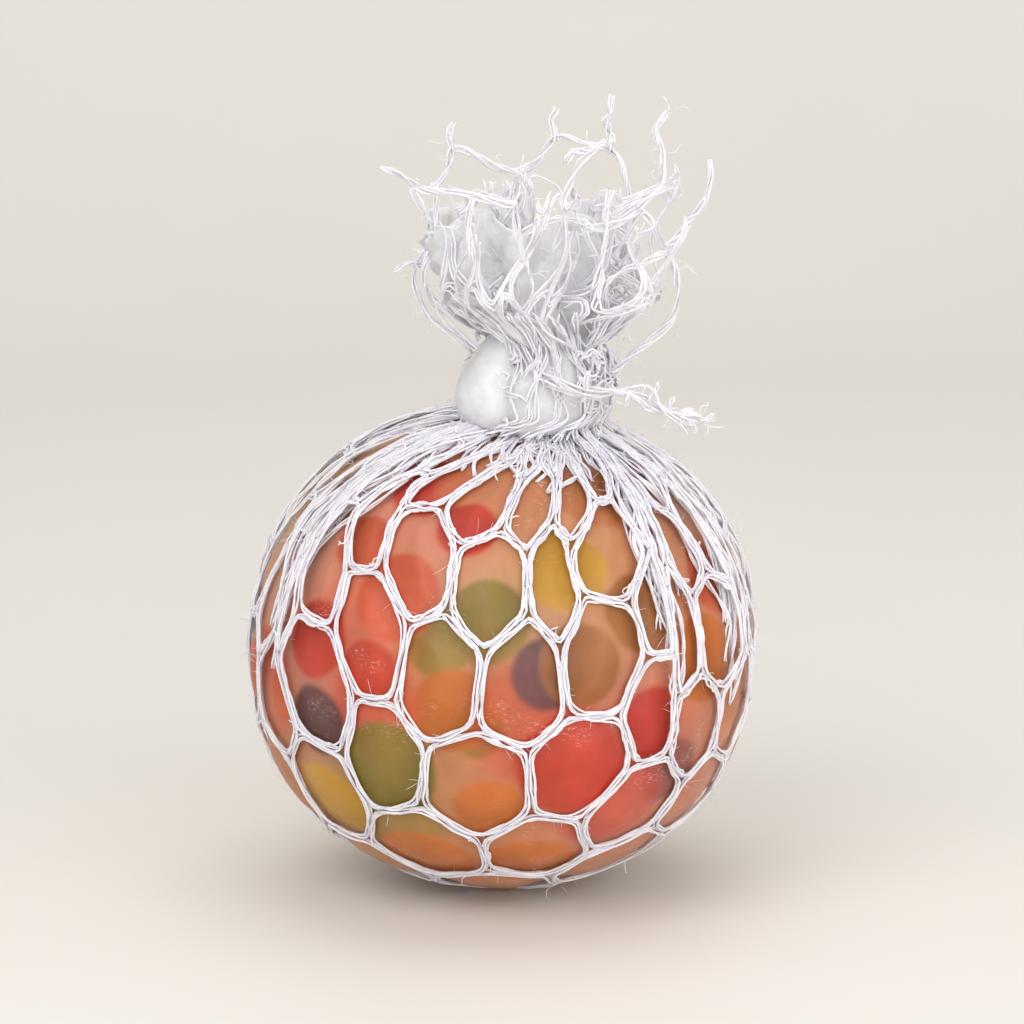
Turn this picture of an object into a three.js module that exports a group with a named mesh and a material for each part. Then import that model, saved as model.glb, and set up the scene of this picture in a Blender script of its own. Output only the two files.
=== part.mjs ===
// A squeeze ball: a soft clear skin full of coloured gel beads, wrapped in a knitted net that is
// gathered at the ball's neck, tied, and left to flare out above the tie as a tuft.
// Millimetres. Z is up, the ball stands on z = 0 at the origin, and its front faces -Y.
import * as THREE from 'three';

const degrees = THREE.MathUtils.degToRad;

// The ball, measured over the net
const BALL_RADIUS = 32.5;
const BALL_HALF_HEIGHT = 30.5;
const SAG = 0.03; // how far the filling bulges the lower half, as a share of the radius
const LEAN = degrees(11); // the neck stands this far off the ball's upright axis
const LEAN_AZIMUTH = degrees(-24); // and leans this way, from +X
const GAP = 0.3; // between pieces that touch
const NET_GAP = 0.45; // between the skin and the straight strands round it

// The skin
const SKIN_WALL = 0.9;
const FOOT_RADIUS = 4.6; // the flat that the ball stands on, inside the lowest cell of the net
const FOOT_FILLET = 0.4;
const SKIN_RINGS = 14;
const SKIN_SIDES = 28;
const MOUTH_RADIUS = 2.9; // of the filling mouth, inside the tie

// The net
const NET_THICKNESS = 1.0;
const STRAND_WIDTH = 1.4;
const CELL_SIZE = 12; // across the flats of a hexagonal cell of the sheet laid flat
const LATTICE_TURN = degrees(16);
const SHEET_RADIUS = 31.5; // the sheet's distance from its middle, over the angle up the ball
const OPEN_NET = 71; // cells within this distance of the sheet's middle stay open on the ball
const PLEAT_DEPTH = 0.35; // of the flutes where the net is gathered
const SLEEVE_WALL = 0.6; // of the net under the tie
const GATHER_TOP = degrees(165); // how far up the ball the pleats reach before they turn up the neck
const GATHER_STEPS = [0.35, 0.7, 1]; // shares of the way there at which a pleat bends

// The tie
const TIE_THREAD_RADIUS = 0.35;
const TIE_TURNS = 2;
const TIE_PITCH = 0.75;
const TIE_RADIUS = MOUTH_RADIUS + SKIN_WALL + GAP + SLEEVE_WALL + GAP + TIE_THREAD_RADIUS;
const TIE_TOP = NET_THICKNESS + GAP + 2 * TIE_THREAD_RADIUS + TIE_TURNS * TIE_PITCH;
const MOUTH_HEIGHT = TIE_TOP; // of the skin's short tube and the net round it, inside the tie

// The skin and the net above the tie
const COLLAR_RADIUS = 11.2; // where the rumpled skin swells out
const COLLAR_TOP = 10.4; // over the neck
const WAIST_RADIUS = 6.8; // where the net closes in again above it
const THROAT_PLEATS = 8;
const THROAT_ARC = degrees(245); // of the collar that the net covers
const THROAT_START = degrees(-95);
const THROAT_FROM = 0.52; // share of the collar's outline where the net starts
const THROAT_TO = 0.96; // and where it ends
const TUFT_ROOT = 13.9; // over the neck, a little above the waist so that the tuft can lean
const TUFT_ROOT_RADIUS = 6.2;
const TUFT_RADIUS = 15;
const TUFT_HEIGHT = 25;
const TUFT_CELLS = 9; // round the tuft
const TUFT_ROWS = 3;
const TUFT_POINT = 3; // length of the cut threads on its edge
const TUFT_HEM = 0.6; // of the net below the tuft's lowest cells
const TUFT_DRIFT = 3; // how far its top hangs towards +X
const TAIL_HEIGHT = 16;
const TAIL_ROOT_WIDTH = 8;
const TAIL_WIDTH = 13;
const TAIL_THICKNESS = 2.4;
const TAIL_FOLD = 1.6; // how far its folds swing to either side
const TAIL_FOLDS = 1.5; // folds from one edge of the tail to the other
const CORNER_REACH = 20.5; // how far the sheet's bunched corner sticks out from the neck
const CORNER_RADIUS = 1.7;
const CORNER_TAPER = 0.4;

// The filling
const BEAD_GAP = 0.12;

const UP = new THREE.Vector3(0, 0, 1);
const LEAN_AXIS = new THREE.Vector3(-Math.sin(LEAN_AZIMUTH), Math.cos(LEAN_AZIMUTH), 0);

// A point of the ball. theta runs from the lowest point to the neck, phi runs round, and inset is
// measured inwards from the net's outer face.
function ballPoint(theta, phi, inset = 0) {
  const lean = (LEAN * (1 - Math.cos(theta))) / 2;
  const direction = new THREE.Vector3(
    Math.sin(theta) * Math.cos(phi),
    Math.sin(theta) * Math.sin(phi),
    -Math.cos(theta),
  ).applyAxisAngle(LEAN_AXIS, lean);
  const low = direction.z < 0 ? 4 * direction.z ** 2 * (1 - direction.z ** 2) : 0;
  const across = (BALL_RADIUS - inset) * (1 + SAG * low);
  const height = BALL_HALF_HEIGHT - inset;
  return direction.multiply(new THREE.Vector3(across, across, height)).setZ(BALL_HALF_HEIGHT + direction.z);
}

const NECK = ballPoint(Math.PI, 0, NET_THICKNESS);

// A point above the neck: radius from the neck's upright axis, and height over the neck.
function neckPoint(radius, phi, height) {
  return new THREE.Vector3(radius * Math.cos(phi), radius * Math.sin(phi), height).add(NECK);
}

// --- Building closed bodies -------------------------------------------------------------------

// A closed mesh geometry from faces of any number of corners. Corners that coincide become one,
// faces that shrink to a line are dropped, and the faces are turned to point out.
function closedBody(faces) {
  const index = new Map();
  const positions = [];
  const triangles = [];
  const number = (p) => {
    const key = `${Math.round(p.x * 1e4)},${Math.round(p.y * 1e4)},${Math.round(p.z * 1e4)}`;
    if (!index.has(key)) {
      index.set(key, index.size);
      positions.push(p.x, p.y, p.z);
    }
    return index.get(key);
  };
  for (const face of faces) {
    const corners = face.map(number);
    for (let k = 1; k + 1 < corners.length; k++) {
      const [a, b, c] = [corners[0], corners[k], corners[k + 1]];
      if (a !== b && b !== c && c !== a) triangles.push([a, b, c]);
    }
  }
  const corner = (i) => new THREE.Vector3().fromArray(positions, 3 * i);
  const volume = triangles.reduce(
    (sum, [a, b, c]) => sum + corner(a).dot(corner(b).cross(corner(c))),
    0,
  );
  const geometry = new THREE.BufferGeometry();
  geometry.setAttribute('position', new THREE.Float32BufferAttribute(positions, 3));
  geometry.setIndex(triangles.flatMap(([a, b, c]) => (volume > 0 ? [a, b, c] : [a, c, b])));
  return geometry;
}

// A closed body between an outer and an inner surface that share one grid. place(u, v, side) gives
// the point, with u round, v along, and side 0 outside and 1 inside. It goes right round in u
// unless it's a patch.
function shellBody(place, sides, rings, isPatch = false) {
  const faces = [];
  const at = (i, j, side) => place((isPatch ? i : i % sides) / sides, j / rings, side);
  for (let i = 0; i < sides; i++) {
    for (let j = 0; j < rings; j++) {
      faces.push([at(i, j, 0), at(i + 1, j, 0), at(i + 1, j + 1, 0), at(i, j + 1, 0)]);
      faces.push([at(i, j, 1), at(i, j + 1, 1), at(i + 1, j + 1, 1), at(i + 1, j, 1)]);
    }
    faces.push([at(i, 0, 0), at(i, 0, 1), at(i + 1, 0, 1), at(i + 1, 0, 0)]);
    faces.push([at(i, rings, 0), at(i + 1, rings, 0), at(i + 1, rings, 1), at(i, rings, 1)]);
  }
  for (let j = 0; isPatch && j < rings; j++) {
    faces.push([at(0, j, 0), at(0, j + 1, 0), at(0, j + 1, 1), at(0, j, 1)]);
    faces.push([at(sides, j, 0), at(sides, j, 1), at(sides, j + 1, 1), at(sides, j + 1, 0)]);
  }
  return closedBody(faces);
}

// A solid body through a row of outlines. place(u, v) gives the point, u round and v along.
function loftBody(place, sides, rings) {
  const at = (i, j) => place((i % sides) / sides, j / rings);
  const faces = [];
  for (let i = 0; i < sides; i++) {
    for (let j = 0; j < rings; j++) faces.push([at(i, j), at(i + 1, j), at(i + 1, j + 1), at(i, j + 1)]);
  }
  const outline = (j) => [...Array(sides).keys()].map((i) => at(i, j));
  return closedBody([...faces, outline(0).reverse(), outline(rings)]);
}

// A sheet of hexagonal cells laid flat: their centres, how far the lattice is turned, and the width
// after which the sheet closes on itself (0 where it doesn't).
// place(x, y, side) puts a point of the sheet in space, side 0 outside and 1 inside.
// Each cell becomes a hole. rim(x, y, side) places the sheet's own edge.
// Returns the faces, and the steps of the sheet's edge, which its caller closes.
function netStrands({ cells, turn = 0, period = 0 }, place, rim) {
  const corners = new Map();
  const steps = new Map();
  const faces = [];
  for (const cell of cells) {
    const outline = hexagon(cell, turn, period, corners);
    const holes = [0, 1].map((side) => insetOutline(outline.map(({ x, y }) => place(x, y, side))));
    outline.forEach(({ corner, angle }, k) => {
      const next = outline[(k + 1) % 6].corner;
      corner.around.push({ angle, points: [holes[0][k], holes[1][k]] });
      steps.set(`${corner.key}>${next.key}`, {
        from: corner,
        to: next,
        near: [[holes[0][k], holes[1][k]], [holes[0][(k + 1) % 6], holes[1][(k + 1) % 6]]],
      });
    });
  }
  for (const corner of corners.values()) corner.rim = [0, 1].map((side) => rim(corner.x, corner.y, side));
  const edge = [];
  for (const [key, { from, to, near }] of steps) {
    const [a, b] = near;
    faces.push([a[0], a[1], b[1], b[0]]);
    const backward = `${to.key}>${from.key}`;
    const twin = steps.get(backward);
    if (twin && backward < key) continue;
    const [farB, farA] = twin ? twin.near : [to.rim, from.rim];
    faces.push([a[0], b[0], farB[0], farA[0]]);
    faces.push([a[1], farA[1], farB[1], b[1]]);
    if (!twin) edge.push({ from, to });
  }
  for (const corner of corners.values()) faces.push(...junction(corner));
  return { faces, edge };
}

// The six corners of a cell, anticlockwise, each shared with the cells next to it. angle is the
// cell's direction as seen from the corner.
function hexagon(cell, turn, period, corners) {
  const side = CELL_SIZE / Math.sqrt(3);
  return [...Array(6).keys()].map((k) => {
    const angle = turn + degrees(30 + 60 * k);
    const x = cell.x + side * Math.cos(angle);
    const y = cell.y + side * Math.sin(angle);
    const across = period ? Math.round(100 * (x + period)) % Math.round(100 * period) : Math.round(100 * x);
    const key = `${across},${Math.round(100 * y)}`;
    if (!corners.has(key)) corners.set(key, { key, x, y, around: [] });
    return { x, y, corner: corners.get(key), angle: angle + Math.PI };
  });
}

// The points half a strand inside a closed outline.
function insetOutline(points) {
  const centre = points.reduce((sum, p) => sum.add(p), new THREE.Vector3()).divideScalar(points.length);
  const normal = new THREE.Vector3();
  points.forEach((p, k) => {
    const next = points[(k + 1) % points.length];
    normal.add(p.clone().sub(centre).cross(next.clone().sub(centre)));
  });
  normal.normalize();
  const inward = points.map((p, k) =>
    normal.clone().cross(points[(k + 1) % points.length].clone().sub(p)).normalize(),
  );
  return points.map((p, k) => {
    const before = inward[(k + points.length - 1) % points.length];
    const after = inward[k];
    const reach = STRAND_WIDTH / 2 / (1 + before.dot(after));
    return p.clone().addScaledVector(before, reach).addScaledVector(after, reach);
  });
}

// The faces where three strands meet, or two strands and the sheet's edge.
function junction({ around, rim }) {
  if (around.length < 2) return [];
  const sectors = [...around];
  if (sectors.length === 2) {
    const middle = sectors.reduce(
      (sum, { angle }) => sum.add(new THREE.Vector2(Math.cos(angle), Math.sin(angle))),
      new THREE.Vector2(),
    );
    sectors.push({ angle: Math.atan2(-middle.y, -middle.x), points: rim });
  }
  const turned = ({ angle }) => THREE.MathUtils.euclideanModulo(angle, 2 * Math.PI);
  sectors.sort((a, b) => turned(b) - turned(a));
  const outside = sectors.map(({ points }) => points[0]);
  const inside = sectors.map(({ points }) => points[1]).reverse();
  return [outside, inside];
}

// The centres of a turned lattice's cells that lie within reach of the sheet's middle.
function roundLattice(turn, reach) {
  const cells = [];
  const most = Math.ceil(reach / CELL_SIZE) + 2;
  for (let i = -most; i <= most; i++) {
    for (let j = -most; j <= most; j++) {
      const along = (i + j / 2) * CELL_SIZE;
      const over = ((j * Math.sqrt(3)) / 2) * CELL_SIZE;
      const x = along * Math.cos(turn) - over * Math.sin(turn);
      const y = along * Math.sin(turn) + over * Math.cos(turn);
      if (Math.hypot(x, y) <= reach) cells.push({ x, y });
    }
  }
  return cells;
}

// --- The ball ---------------------------------------------------------------------------------

// The skin: a thin shell with a flat foot below and a short tube at its mouth.
function skin() {
  const outerInset = NET_THICKNESS + NET_GAP;
  const mouthAngle = Math.PI - (MOUTH_RADIUS + SKIN_WALL) / BALL_RADIUS;
  const footAngle = (FOOT_RADIUS + FOOT_FILLET) / BALL_RADIUS;
  const place = (u, v, side) => {
    const phi = 2 * Math.PI * u;
    const ring = Math.round(v * SKIN_RINGS);
    const radius = MOUTH_RADIUS + (side ? 0 : SKIN_WALL);
    if (ring === SKIN_RINGS) return neckPoint(radius, phi, MOUTH_HEIGHT);
    if (ring === SKIN_RINGS - 1) return neckPoint(radius, phi, side ? -NET_GAP - SKIN_WALL : -NET_GAP);
    if (ring === 0) return new THREE.Vector3(0, 0, side ? outerInset + SKIN_WALL : 0);
    if (ring === 1 && !side) {
      return new THREE.Vector3(FOOT_RADIUS * Math.cos(phi), FOOT_RADIUS * Math.sin(phi), 0);
    }
    const theta = footAngle + ((ring - 2) / (SKIN_RINGS - 4)) * (mouthAngle - 0.06 - footAngle);
    if (ring === 1) return ballPoint(footAngle / 2, phi, outerInset + SKIN_WALL);
    return ballPoint(theta, phi, outerInset + (side ? SKIN_WALL : 0));
  };
  return shellBody(place, SKIN_SIDES, SKIN_RINGS);
}

// The net round the ball: open cells up to its shoulder, and gathered pleats from there to the tie.
function netBag() {
  const toBall = (x, y, inset) => ballPoint(Math.hypot(x, y) / SHEET_RADIUS, Math.atan2(y, x), inset);
  const place = (x, y, side) => toBall(x, y, side * NET_THICKNESS);
  const rim = (x, y, side) => {
    const outward = 1 + STRAND_WIDTH / 2 / Math.hypot(x, y);
    return place(x * outward, y * outward, side);
  };
  const cells = roundLattice(LATTICE_TURN, OPEN_NET);
  const { faces, edge } = netStrands({ cells, turn: LATTICE_TURN }, place, rim);

  const loop = edgeLoop(edge);
  const first = Math.atan2(loop[0].y, loop[0].x);
  const sleeve = MOUTH_RADIUS + SKIN_WALL + GAP;
  const rings = loop.map((corner, k) => {
    const pleat = first + (2 * Math.PI * k) / loop.length;
    const flute = (k % 2) * PLEAT_DEPTH;
    const { x, y } = corner;
    const round = pleat + angleBetween(pleat, Math.atan2(y, x));
    const from = new THREE.Vector2(Math.hypot(x, y) / SHEET_RADIUS, round);
    const to = new THREE.Vector2(GATHER_TOP, pleat);
    const shoulder = (share, side) => {
      const at = from.clone().lerp(to, share);
      return ballPoint(at.x, at.y, side * NET_THICKNESS - (side ? 0 : flute * share));
    };
    return [0, 1].map((side) => [
      corner.rim[side],
      ...GATHER_STEPS.map((share) => shoulder(share, side)),
      neckPoint(sleeve + (side ? 0 : SLEEVE_WALL), pleat, side ? 0 : NET_THICKNESS),
      neckPoint(sleeve + (side ? 0 : SLEEVE_WALL), pleat, MOUTH_HEIGHT),
    ]);
  });
  rings.forEach((here, k) => {
    const next = rings[(k + 1) % rings.length];
    const last = here[0].length - 1;
    for (let j = 0; j < last; j++) {
      faces.push([here[0][j], next[0][j], next[0][j + 1], here[0][j + 1]]);
      faces.push([next[1][j], here[1][j], here[1][j + 1], next[1][j + 1]]);
    }
    faces.push([here[0][last], next[0][last], next[1][last], here[1][last]]);
  });
  return closedBody(faces);
}

// The turn from one angle to another, the short way round.
function angleBetween(from, to) {
  return Math.atan2(Math.sin(to - from), Math.cos(to - from));
}

// The corners of a sheet's edge in their order round the sheet.
function edgeLoop(edge) {
  const after = new Map(edge.map(({ from, to }) => [from, to]));
  const loop = [edge[0].from];
  while (after.get(loop.at(-1)) !== loop[0]) loop.push(after.get(loop.at(-1)));
  return loop;
}

// --- The neck and the tuft --------------------------------------------------------------------

// The thread wound round the neck, over the net.
function neckTie() {
  const lowest = NET_THICKNESS + GAP + TIE_THREAD_RADIUS;
  class Winding extends THREE.Curve {
    getPoint(t) {
      return neckPoint(TIE_RADIUS, 2 * Math.PI * TIE_TURNS * t, lowest + TIE_PITCH * TIE_TURNS * t);
    }
  }
  const section = new THREE.Shape().absarc(0, 0, TIE_THREAD_RADIUS, 0, 2 * Math.PI);
  return new THREE.ExtrudeGeometry(section, {
    extrudePath: new Winding(),
    steps: 16 * TIE_TURNS,
    curveSegments: 3,
    bevelEnabled: false,
  });
}

// The collar's outline, from its foot on the tie out round its swell and in to the waist.
// Each point is [radius, height] over the neck.
const COLLAR_LINE = new THREE.SplineCurve([
  new THREE.Vector2(TIE_RADIUS, TIE_TOP + GAP),
  new THREE.Vector2(COLLAR_RADIUS - 2.2, 2.6),
  new THREE.Vector2(COLLAR_RADIUS - 0.3, 3.9),
  new THREE.Vector2(COLLAR_RADIUS, 6.4),
  new THREE.Vector2(COLLAR_RADIUS - 1.9, 9.2),
  new THREE.Vector2(WAIST_RADIUS - 1, COLLAR_TOP),
]);

// The skin above its tie, swollen out like a rumpled lip. Its folds are taken as one mass.
function skinCollar() {
  const outline = [
    new THREE.Vector2(0, TIE_TOP + GAP),
    ...COLLAR_LINE.getSpacedPoints(9),
    new THREE.Vector2(0, COLLAR_TOP),
  ];
  return new THREE.LatheGeometry(outline, 20).rotateX(Math.PI / 2).translate(NECK.x, NECK.y, NECK.z);
}

// The gathered net that goes up over the collar. It leaves the collar bare at the front left.
function netThroat() {
  const place = (u, v, side) => {
    const share = THROAT_FROM + (THROAT_TO - THROAT_FROM) * v;
    const at = COLLAR_LINE.getPointAt(share);
    const along = COLLAR_LINE.getTangentAt(share);
    const flute = side ? 0 : PLEAT_DEPTH * Math.cos(2 * Math.PI * THROAT_PLEATS * u);
    const out = 1.5 * GAP + (1 - side) * NET_THICKNESS + flute;
    return neckPoint(at.x + along.y * out, THROAT_START + THROAT_ARC * u, at.y - along.x * out);
  };
  return shellBody(place, 4 * THROAT_PLEATS, 5, true);
}

// The walls that close a sheet's edge.
function rimWalls(edge) {
  return edge.map(({ from, to }) => [from.rim[0], to.rim[0], to.rim[1], from.rim[1]]);
}

// The free net above the waist: a flared, open crown whose cut threads stand up as points.
function netTuft() {
  const rise = (CELL_SIZE * Math.sqrt(3)) / 2;
  const cells = [];
  for (let row = 0; row < TUFT_ROWS; row++) {
    for (let i = 0; i < TUFT_CELLS; i++) cells.push({ x: (i + (row % 2) / 2) * CELL_SIZE, y: row * rise });
  }
  const period = TUFT_CELLS * CELL_SIZE;
  const lowest = -CELL_SIZE / Math.sqrt(3);
  const highest = (TUFT_ROWS - 1) * rise - lowest;
  const place = (x, y, side) => {
    const up = (y - lowest) / (highest - lowest);
    const flare = Math.sin((Math.min(up, 1) * Math.PI) / 2);
    const radius = TUFT_ROOT_RADIUS + (TUFT_RADIUS - TUFT_ROOT_RADIUS) * flare - side * NET_THICKNESS;
    const point = neckPoint(radius, (2 * Math.PI * x) / period, TUFT_ROOT + TUFT_HEIGHT * up);
    return point.add(new THREE.Vector3(TUFT_DRIFT * up * up, 0, 0));
  };
  const rim = (x, y, side) => {
    const isPoint = y > highest - TUFT_HEM;
    return place(x, y + (isPoint ? TUFT_POINT : Math.sign(y) * TUFT_HEM), side);
  };
  const { faces, edge } = netStrands({ cells, period }, place, rim);
  return closedBody([...faces, ...rimWalls(edge)]);
}

// The end of the skin's neck: a film folded flat and crumpled, that stands up inside the tuft.
function skinTail() {
  return loftBody((u, v) => {
    const phi = 2 * Math.PI * u;
    const width = TAIL_ROOT_WIDTH + (TAIL_WIDTH - TAIL_ROOT_WIDTH) * v;
    const fold = TAIL_FOLD * v * Math.sin(Math.PI * TAIL_FOLDS * Math.cos(phi));
    const across = (width / 2) * Math.cos(phi);
    const through = (TAIL_THICKNESS / 2) * Math.sin(phi) + fold;
    return new THREE.Vector3(across, through, TUFT_ROOT + TAIL_HEIGHT * v).add(NECK);
  }, 16, 5);
}

// The sheet's bunched corner, a tapering bundle that droops at its tip.
function netCorner() {
  const line = new THREE.CatmullRomCurve3([
    new THREE.Vector3(8.8, -11.6, 6.6),
    new THREE.Vector3(13.0, -9.4, 6.2),
    new THREE.Vector3(16.6, -7.8, 3.8),
    new THREE.Vector3(CORNER_REACH, -6.4, 2.2),
  ]);
  return loftBody((u, v) => {
    const tangent = line.getTangentAt(v);
    const sideways = new THREE.Vector3().crossVectors(UP, tangent).normalize();
    const upward = new THREE.Vector3().crossVectors(tangent, sideways);
    const radius = CORNER_RADIUS * (1 - CORNER_TAPER * v);
    return line.getPointAt(v)
      .addScaledVector(sideways, radius * Math.cos(2 * Math.PI * u))
      .addScaledVector(upward, radius * Math.sin(2 * Math.PI * u))
      .add(NECK);
  }, 8, 8);
}

// --- The filling ------------------------------------------------------------------------------

// The gel beads seen through the front of the skin. Each is [degrees round from the front towards
// +X, degrees above the waist, radius, colour]. The pressed ones touch the skin.
const PRESSED_BEADS = [
  [16, -15.5, 5.25, 'red'],
  [-27, -18, 5, 'olive'],
  [-26, 25, 4.5, 'coral'],
  [18, 9, 5, 'amber'],
  [-3, 20, 4.25, 'olive'],
  [17, 32, 4.25, 'yellow'],
  [-10.5, -1.5, 4.25, 'orange'],
  [-31, 6, 4, 'red'],
  [-48, -30, 4.75, 'yellow'],
  [-46, -8, 3.75, 'plum'],
  [36, -7, 4, 'red'],
  [35, 20, 4.25, 'amber'],
  [-42, 37, 4, 'coral'],
  [-28, 55, 4, 'red'],
  [-3, 55, 4.25, 'tan'],
  [36, 53, 4.75, 'tan'],
  [-3, -27, 4, 'orange'],
  [-24, -47, 4.75, 'orange'],
  [9, -48.5, 5, 'orange'],
  [53, 6, 4.5, 'orange'],
  [64, 24, 5, 'coral'],
  [-68, -3, 5.5, 'coral'],
];
const SUNKEN_BEADS = [
  [7, -4, 4, 'red'],
  [28, -27, 4.25, 'red'],
  [-29, -3, 3.5, 'red'],
  [-7, -11, 4, 'orange'],
  [44, -21, 4, 'plum'],
  [-47, 12, 4, 'red'],
  [-9, 14, 4.25, 'olive'],
  [9, 8, 4, 'plum'],
  [-10, 43, 4, 'red'],
  [73, 4, 5.5, 'tan'],
  [59, -19, 5, 'coral'],
  [-33, 18, 4, 'coral'],
  [-3, -4, 3.75, 'olive'],
  [31, 38, 5, 'tan'],
  [20, -36, 3.75, 'coral'],
  [-72, -24, 5.5, 'tan'],
  [-22, 6, 3.5, 'red'],
  [-29, -33, 3.75, 'olive'],
];
// The beads against the back of the skin, in rings, and those in the middle of the ball
const HIDDEN_RINGS = [
  { count: 3, spread: 120, height: 44 },
  { count: 5, spread: 172, height: 4 },
  { count: 3, spread: 120, height: -38 },
];
const HIDDEN_COLOURS = ['amber', 'coral', 'yellow', 'red', 'olive', 'tan', 'orange', 'plum'];
const HIDDEN_RADIUS = 6.8;
const CORE_BEADS = 2;
const CORE_RADIUS = 6.4;
const SINK_STEP = 0.02; // of the way to the middle
const SHRINK_STEP = 0.2;
const LEAST_RADIUS = 2.8;
const LEAST_SHARE = 0.75; // a bead shrinks to this share of its size before it sinks further

// The spot in the space inside the skin that lies in a direction, share of the way from the middle
// to where a bead of that radius touches the skin.
function insideSkin(direction, share, radius) {
  const inset = NET_THICKNESS + NET_GAP + SKIN_WALL + 2 * GAP + radius;
  const reach = new THREE.Vector3(BALL_RADIUS - inset, BALL_RADIUS - inset, BALL_HALF_HEIGHT - inset);
  return direction.clone().multiply(reach).multiplyScalar(share);
}

// A direction from degrees round from the front, towards +X, and degrees above the waist.
function facing(round, height) {
  const across = Math.cos(degrees(height));
  const angle = degrees(round);
  return new THREE.Vector3(across * Math.sin(angle), -across * Math.cos(angle), Math.sin(degrees(height)));
}

// Every bead in the order in which they are placed: its direction, radius and colour.
function beadPlan() {
  const plan = [];
  const list = (row, pressed) => {
    for (const [round, height, radius, colour] of row) {
      plan.push({ direction: facing(round, height), radius, colour, pressed, share: 1 });
    }
  };
  const hidden = (round, height, radius, share) => {
    const colour = HIDDEN_COLOURS[plan.length % HIDDEN_COLOURS.length];
    plan.push({ direction: facing(round, height), radius, colour, pressed: false, share });
  };
  list(PRESSED_BEADS, true);
  list(SUNKEN_BEADS, false);
  for (const { count, spread, height } of HIDDEN_RINGS) {
    for (let k = 0; k < count; k++) hidden(180 + spread * (k / (count - 1) - 0.5), height, HIDDEN_RADIUS, 1);
  }
  for (let k = 0; k < CORE_BEADS; k++) hidden((360 * k) / CORE_BEADS, 0, CORE_RADIUS, 0.5);
  return plan;
}

// Places the beads one by one. A bead that would touch those before it sinks a little towards the
// middle or shrinks a little until it is clear of them, and failing that it sinks further.
function settledBeads() {
  const placed = [];
  const isClear = (centre, radius) =>
    placed.every((other) => other.centre.distanceTo(centre) >= other.radius + radius + BEAD_GAP);
  for (const { direction, radius: full, colour, pressed, share: outermost } of beadPlan()) {
    const spots = [];
    const tryDownTo = (leastRadius, from, to) => {
      for (let radius = full; radius >= leastRadius; radius -= SHRINK_STEP) {
        for (let share = from; share > to; share -= SINK_STEP) spots.push({ radius, share });
      }
    };
    if (pressed) tryDownTo(LEAST_SHARE * full, 1, 1 - SINK_STEP);
    tryDownTo(LEAST_SHARE * full, outermost, outermost / 2);
    tryDownTo(LEAST_RADIUS, outermost / 2, 0);
    const spot = spots
      .map(({ radius, share }) => ({ radius, centre: insideSkin(direction, share, radius) }))
      .find(({ radius, centre }) => isClear(centre, radius));
    if (spot) placed.push({ ...spot, colour });
  }
  return placed;
}

// --- The object -------------------------------------------------------------------------------

const COLOURS = {
  red: '#c8402f',
  coral: '#cf6a48',
  orange: '#c4782f',
  amber: '#ad7a3a',
  yellow: '#c39a30',
  olive: '#8c8138',
  plum: '#5c3a3e',
  tan: '#c08a5a',
};

const stressBall = new THREE.Group();

function add(name, geometry, colour, roughness) {
  const material = new THREE.MeshStandardMaterial({ color: colour, roughness, metalness: 0 });
  const mesh = new THREE.Mesh(geometry, material);
  mesh.name = name;
  stressBall.add(mesh);
  return mesh;
}

add('skin', skin(), '#d9b79c', 0.35);
add('skin_collar', skinCollar(), '#e6e6e2', 0.35);
add('skin_tail', skinTail(), '#e6e6e2', 0.35);
add('net_bag', netBag(), '#e8e2f0', 0.9);
add('net_throat', netThroat(), '#e8e2f0', 0.9);
add('net_tuft', netTuft(), '#e8e2f0', 0.9);
add('net_corner', netCorner(), '#e8e2f0', 0.9);
add('neck_tie', neckTie(), '#f2f2f2', 0.7);

const counts = {};
for (const { centre, radius, colour } of settledBeads()) {
  counts[colour] = (counts[colour] ?? 0) + 1;
  const name = `gel_bead_${colour}_${String(counts[colour]).padStart(2, '0')}`;
  const bead = add(name, new THREE.IcosahedronGeometry(radius, 1), COLOURS[colour], 0.15);
  bead.position.set(centre.x, centre.y, centre.z + BALL_HALF_HEIGHT);
}

export default stressBall;
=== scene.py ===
import math

import bmesh
import bpy
import numpy as np
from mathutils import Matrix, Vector, kdtree, noise


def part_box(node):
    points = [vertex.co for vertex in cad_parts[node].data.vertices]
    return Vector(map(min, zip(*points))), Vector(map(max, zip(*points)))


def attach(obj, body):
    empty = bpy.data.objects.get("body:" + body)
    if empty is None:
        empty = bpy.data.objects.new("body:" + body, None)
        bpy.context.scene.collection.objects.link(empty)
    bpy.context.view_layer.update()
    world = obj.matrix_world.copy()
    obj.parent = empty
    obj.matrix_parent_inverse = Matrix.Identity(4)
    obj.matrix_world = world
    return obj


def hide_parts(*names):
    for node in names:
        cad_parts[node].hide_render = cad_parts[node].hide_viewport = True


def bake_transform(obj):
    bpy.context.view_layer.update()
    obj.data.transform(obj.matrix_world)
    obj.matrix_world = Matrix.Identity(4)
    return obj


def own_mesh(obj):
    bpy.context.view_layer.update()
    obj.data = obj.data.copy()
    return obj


# A squeeze ball in a net. Lengths are millimetres until a mesh is made, with the ball standing on
# z = 0 and its front towards -Y. Angles up the ball start at its lowest point and end at its neck.

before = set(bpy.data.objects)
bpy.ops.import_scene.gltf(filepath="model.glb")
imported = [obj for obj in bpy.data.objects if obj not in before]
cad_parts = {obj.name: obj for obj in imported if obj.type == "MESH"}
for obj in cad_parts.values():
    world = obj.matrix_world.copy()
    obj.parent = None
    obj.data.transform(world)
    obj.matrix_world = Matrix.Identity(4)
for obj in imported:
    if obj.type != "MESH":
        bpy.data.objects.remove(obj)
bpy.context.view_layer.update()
rng = np.random.default_rng(11)
degrees = math.radians
TURN = 2 * math.pi


def cad_box(node):
    """The lowest and highest corners of a CAD node, in millimetres."""
    low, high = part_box(node)
    return np.array(low) * 1000, np.array(high) * 1000


def from_front(azimuth):
    """An azimuth in degrees round from the front, as an angle in radians round from +X."""
    return degrees(azimuth - 90)


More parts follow.
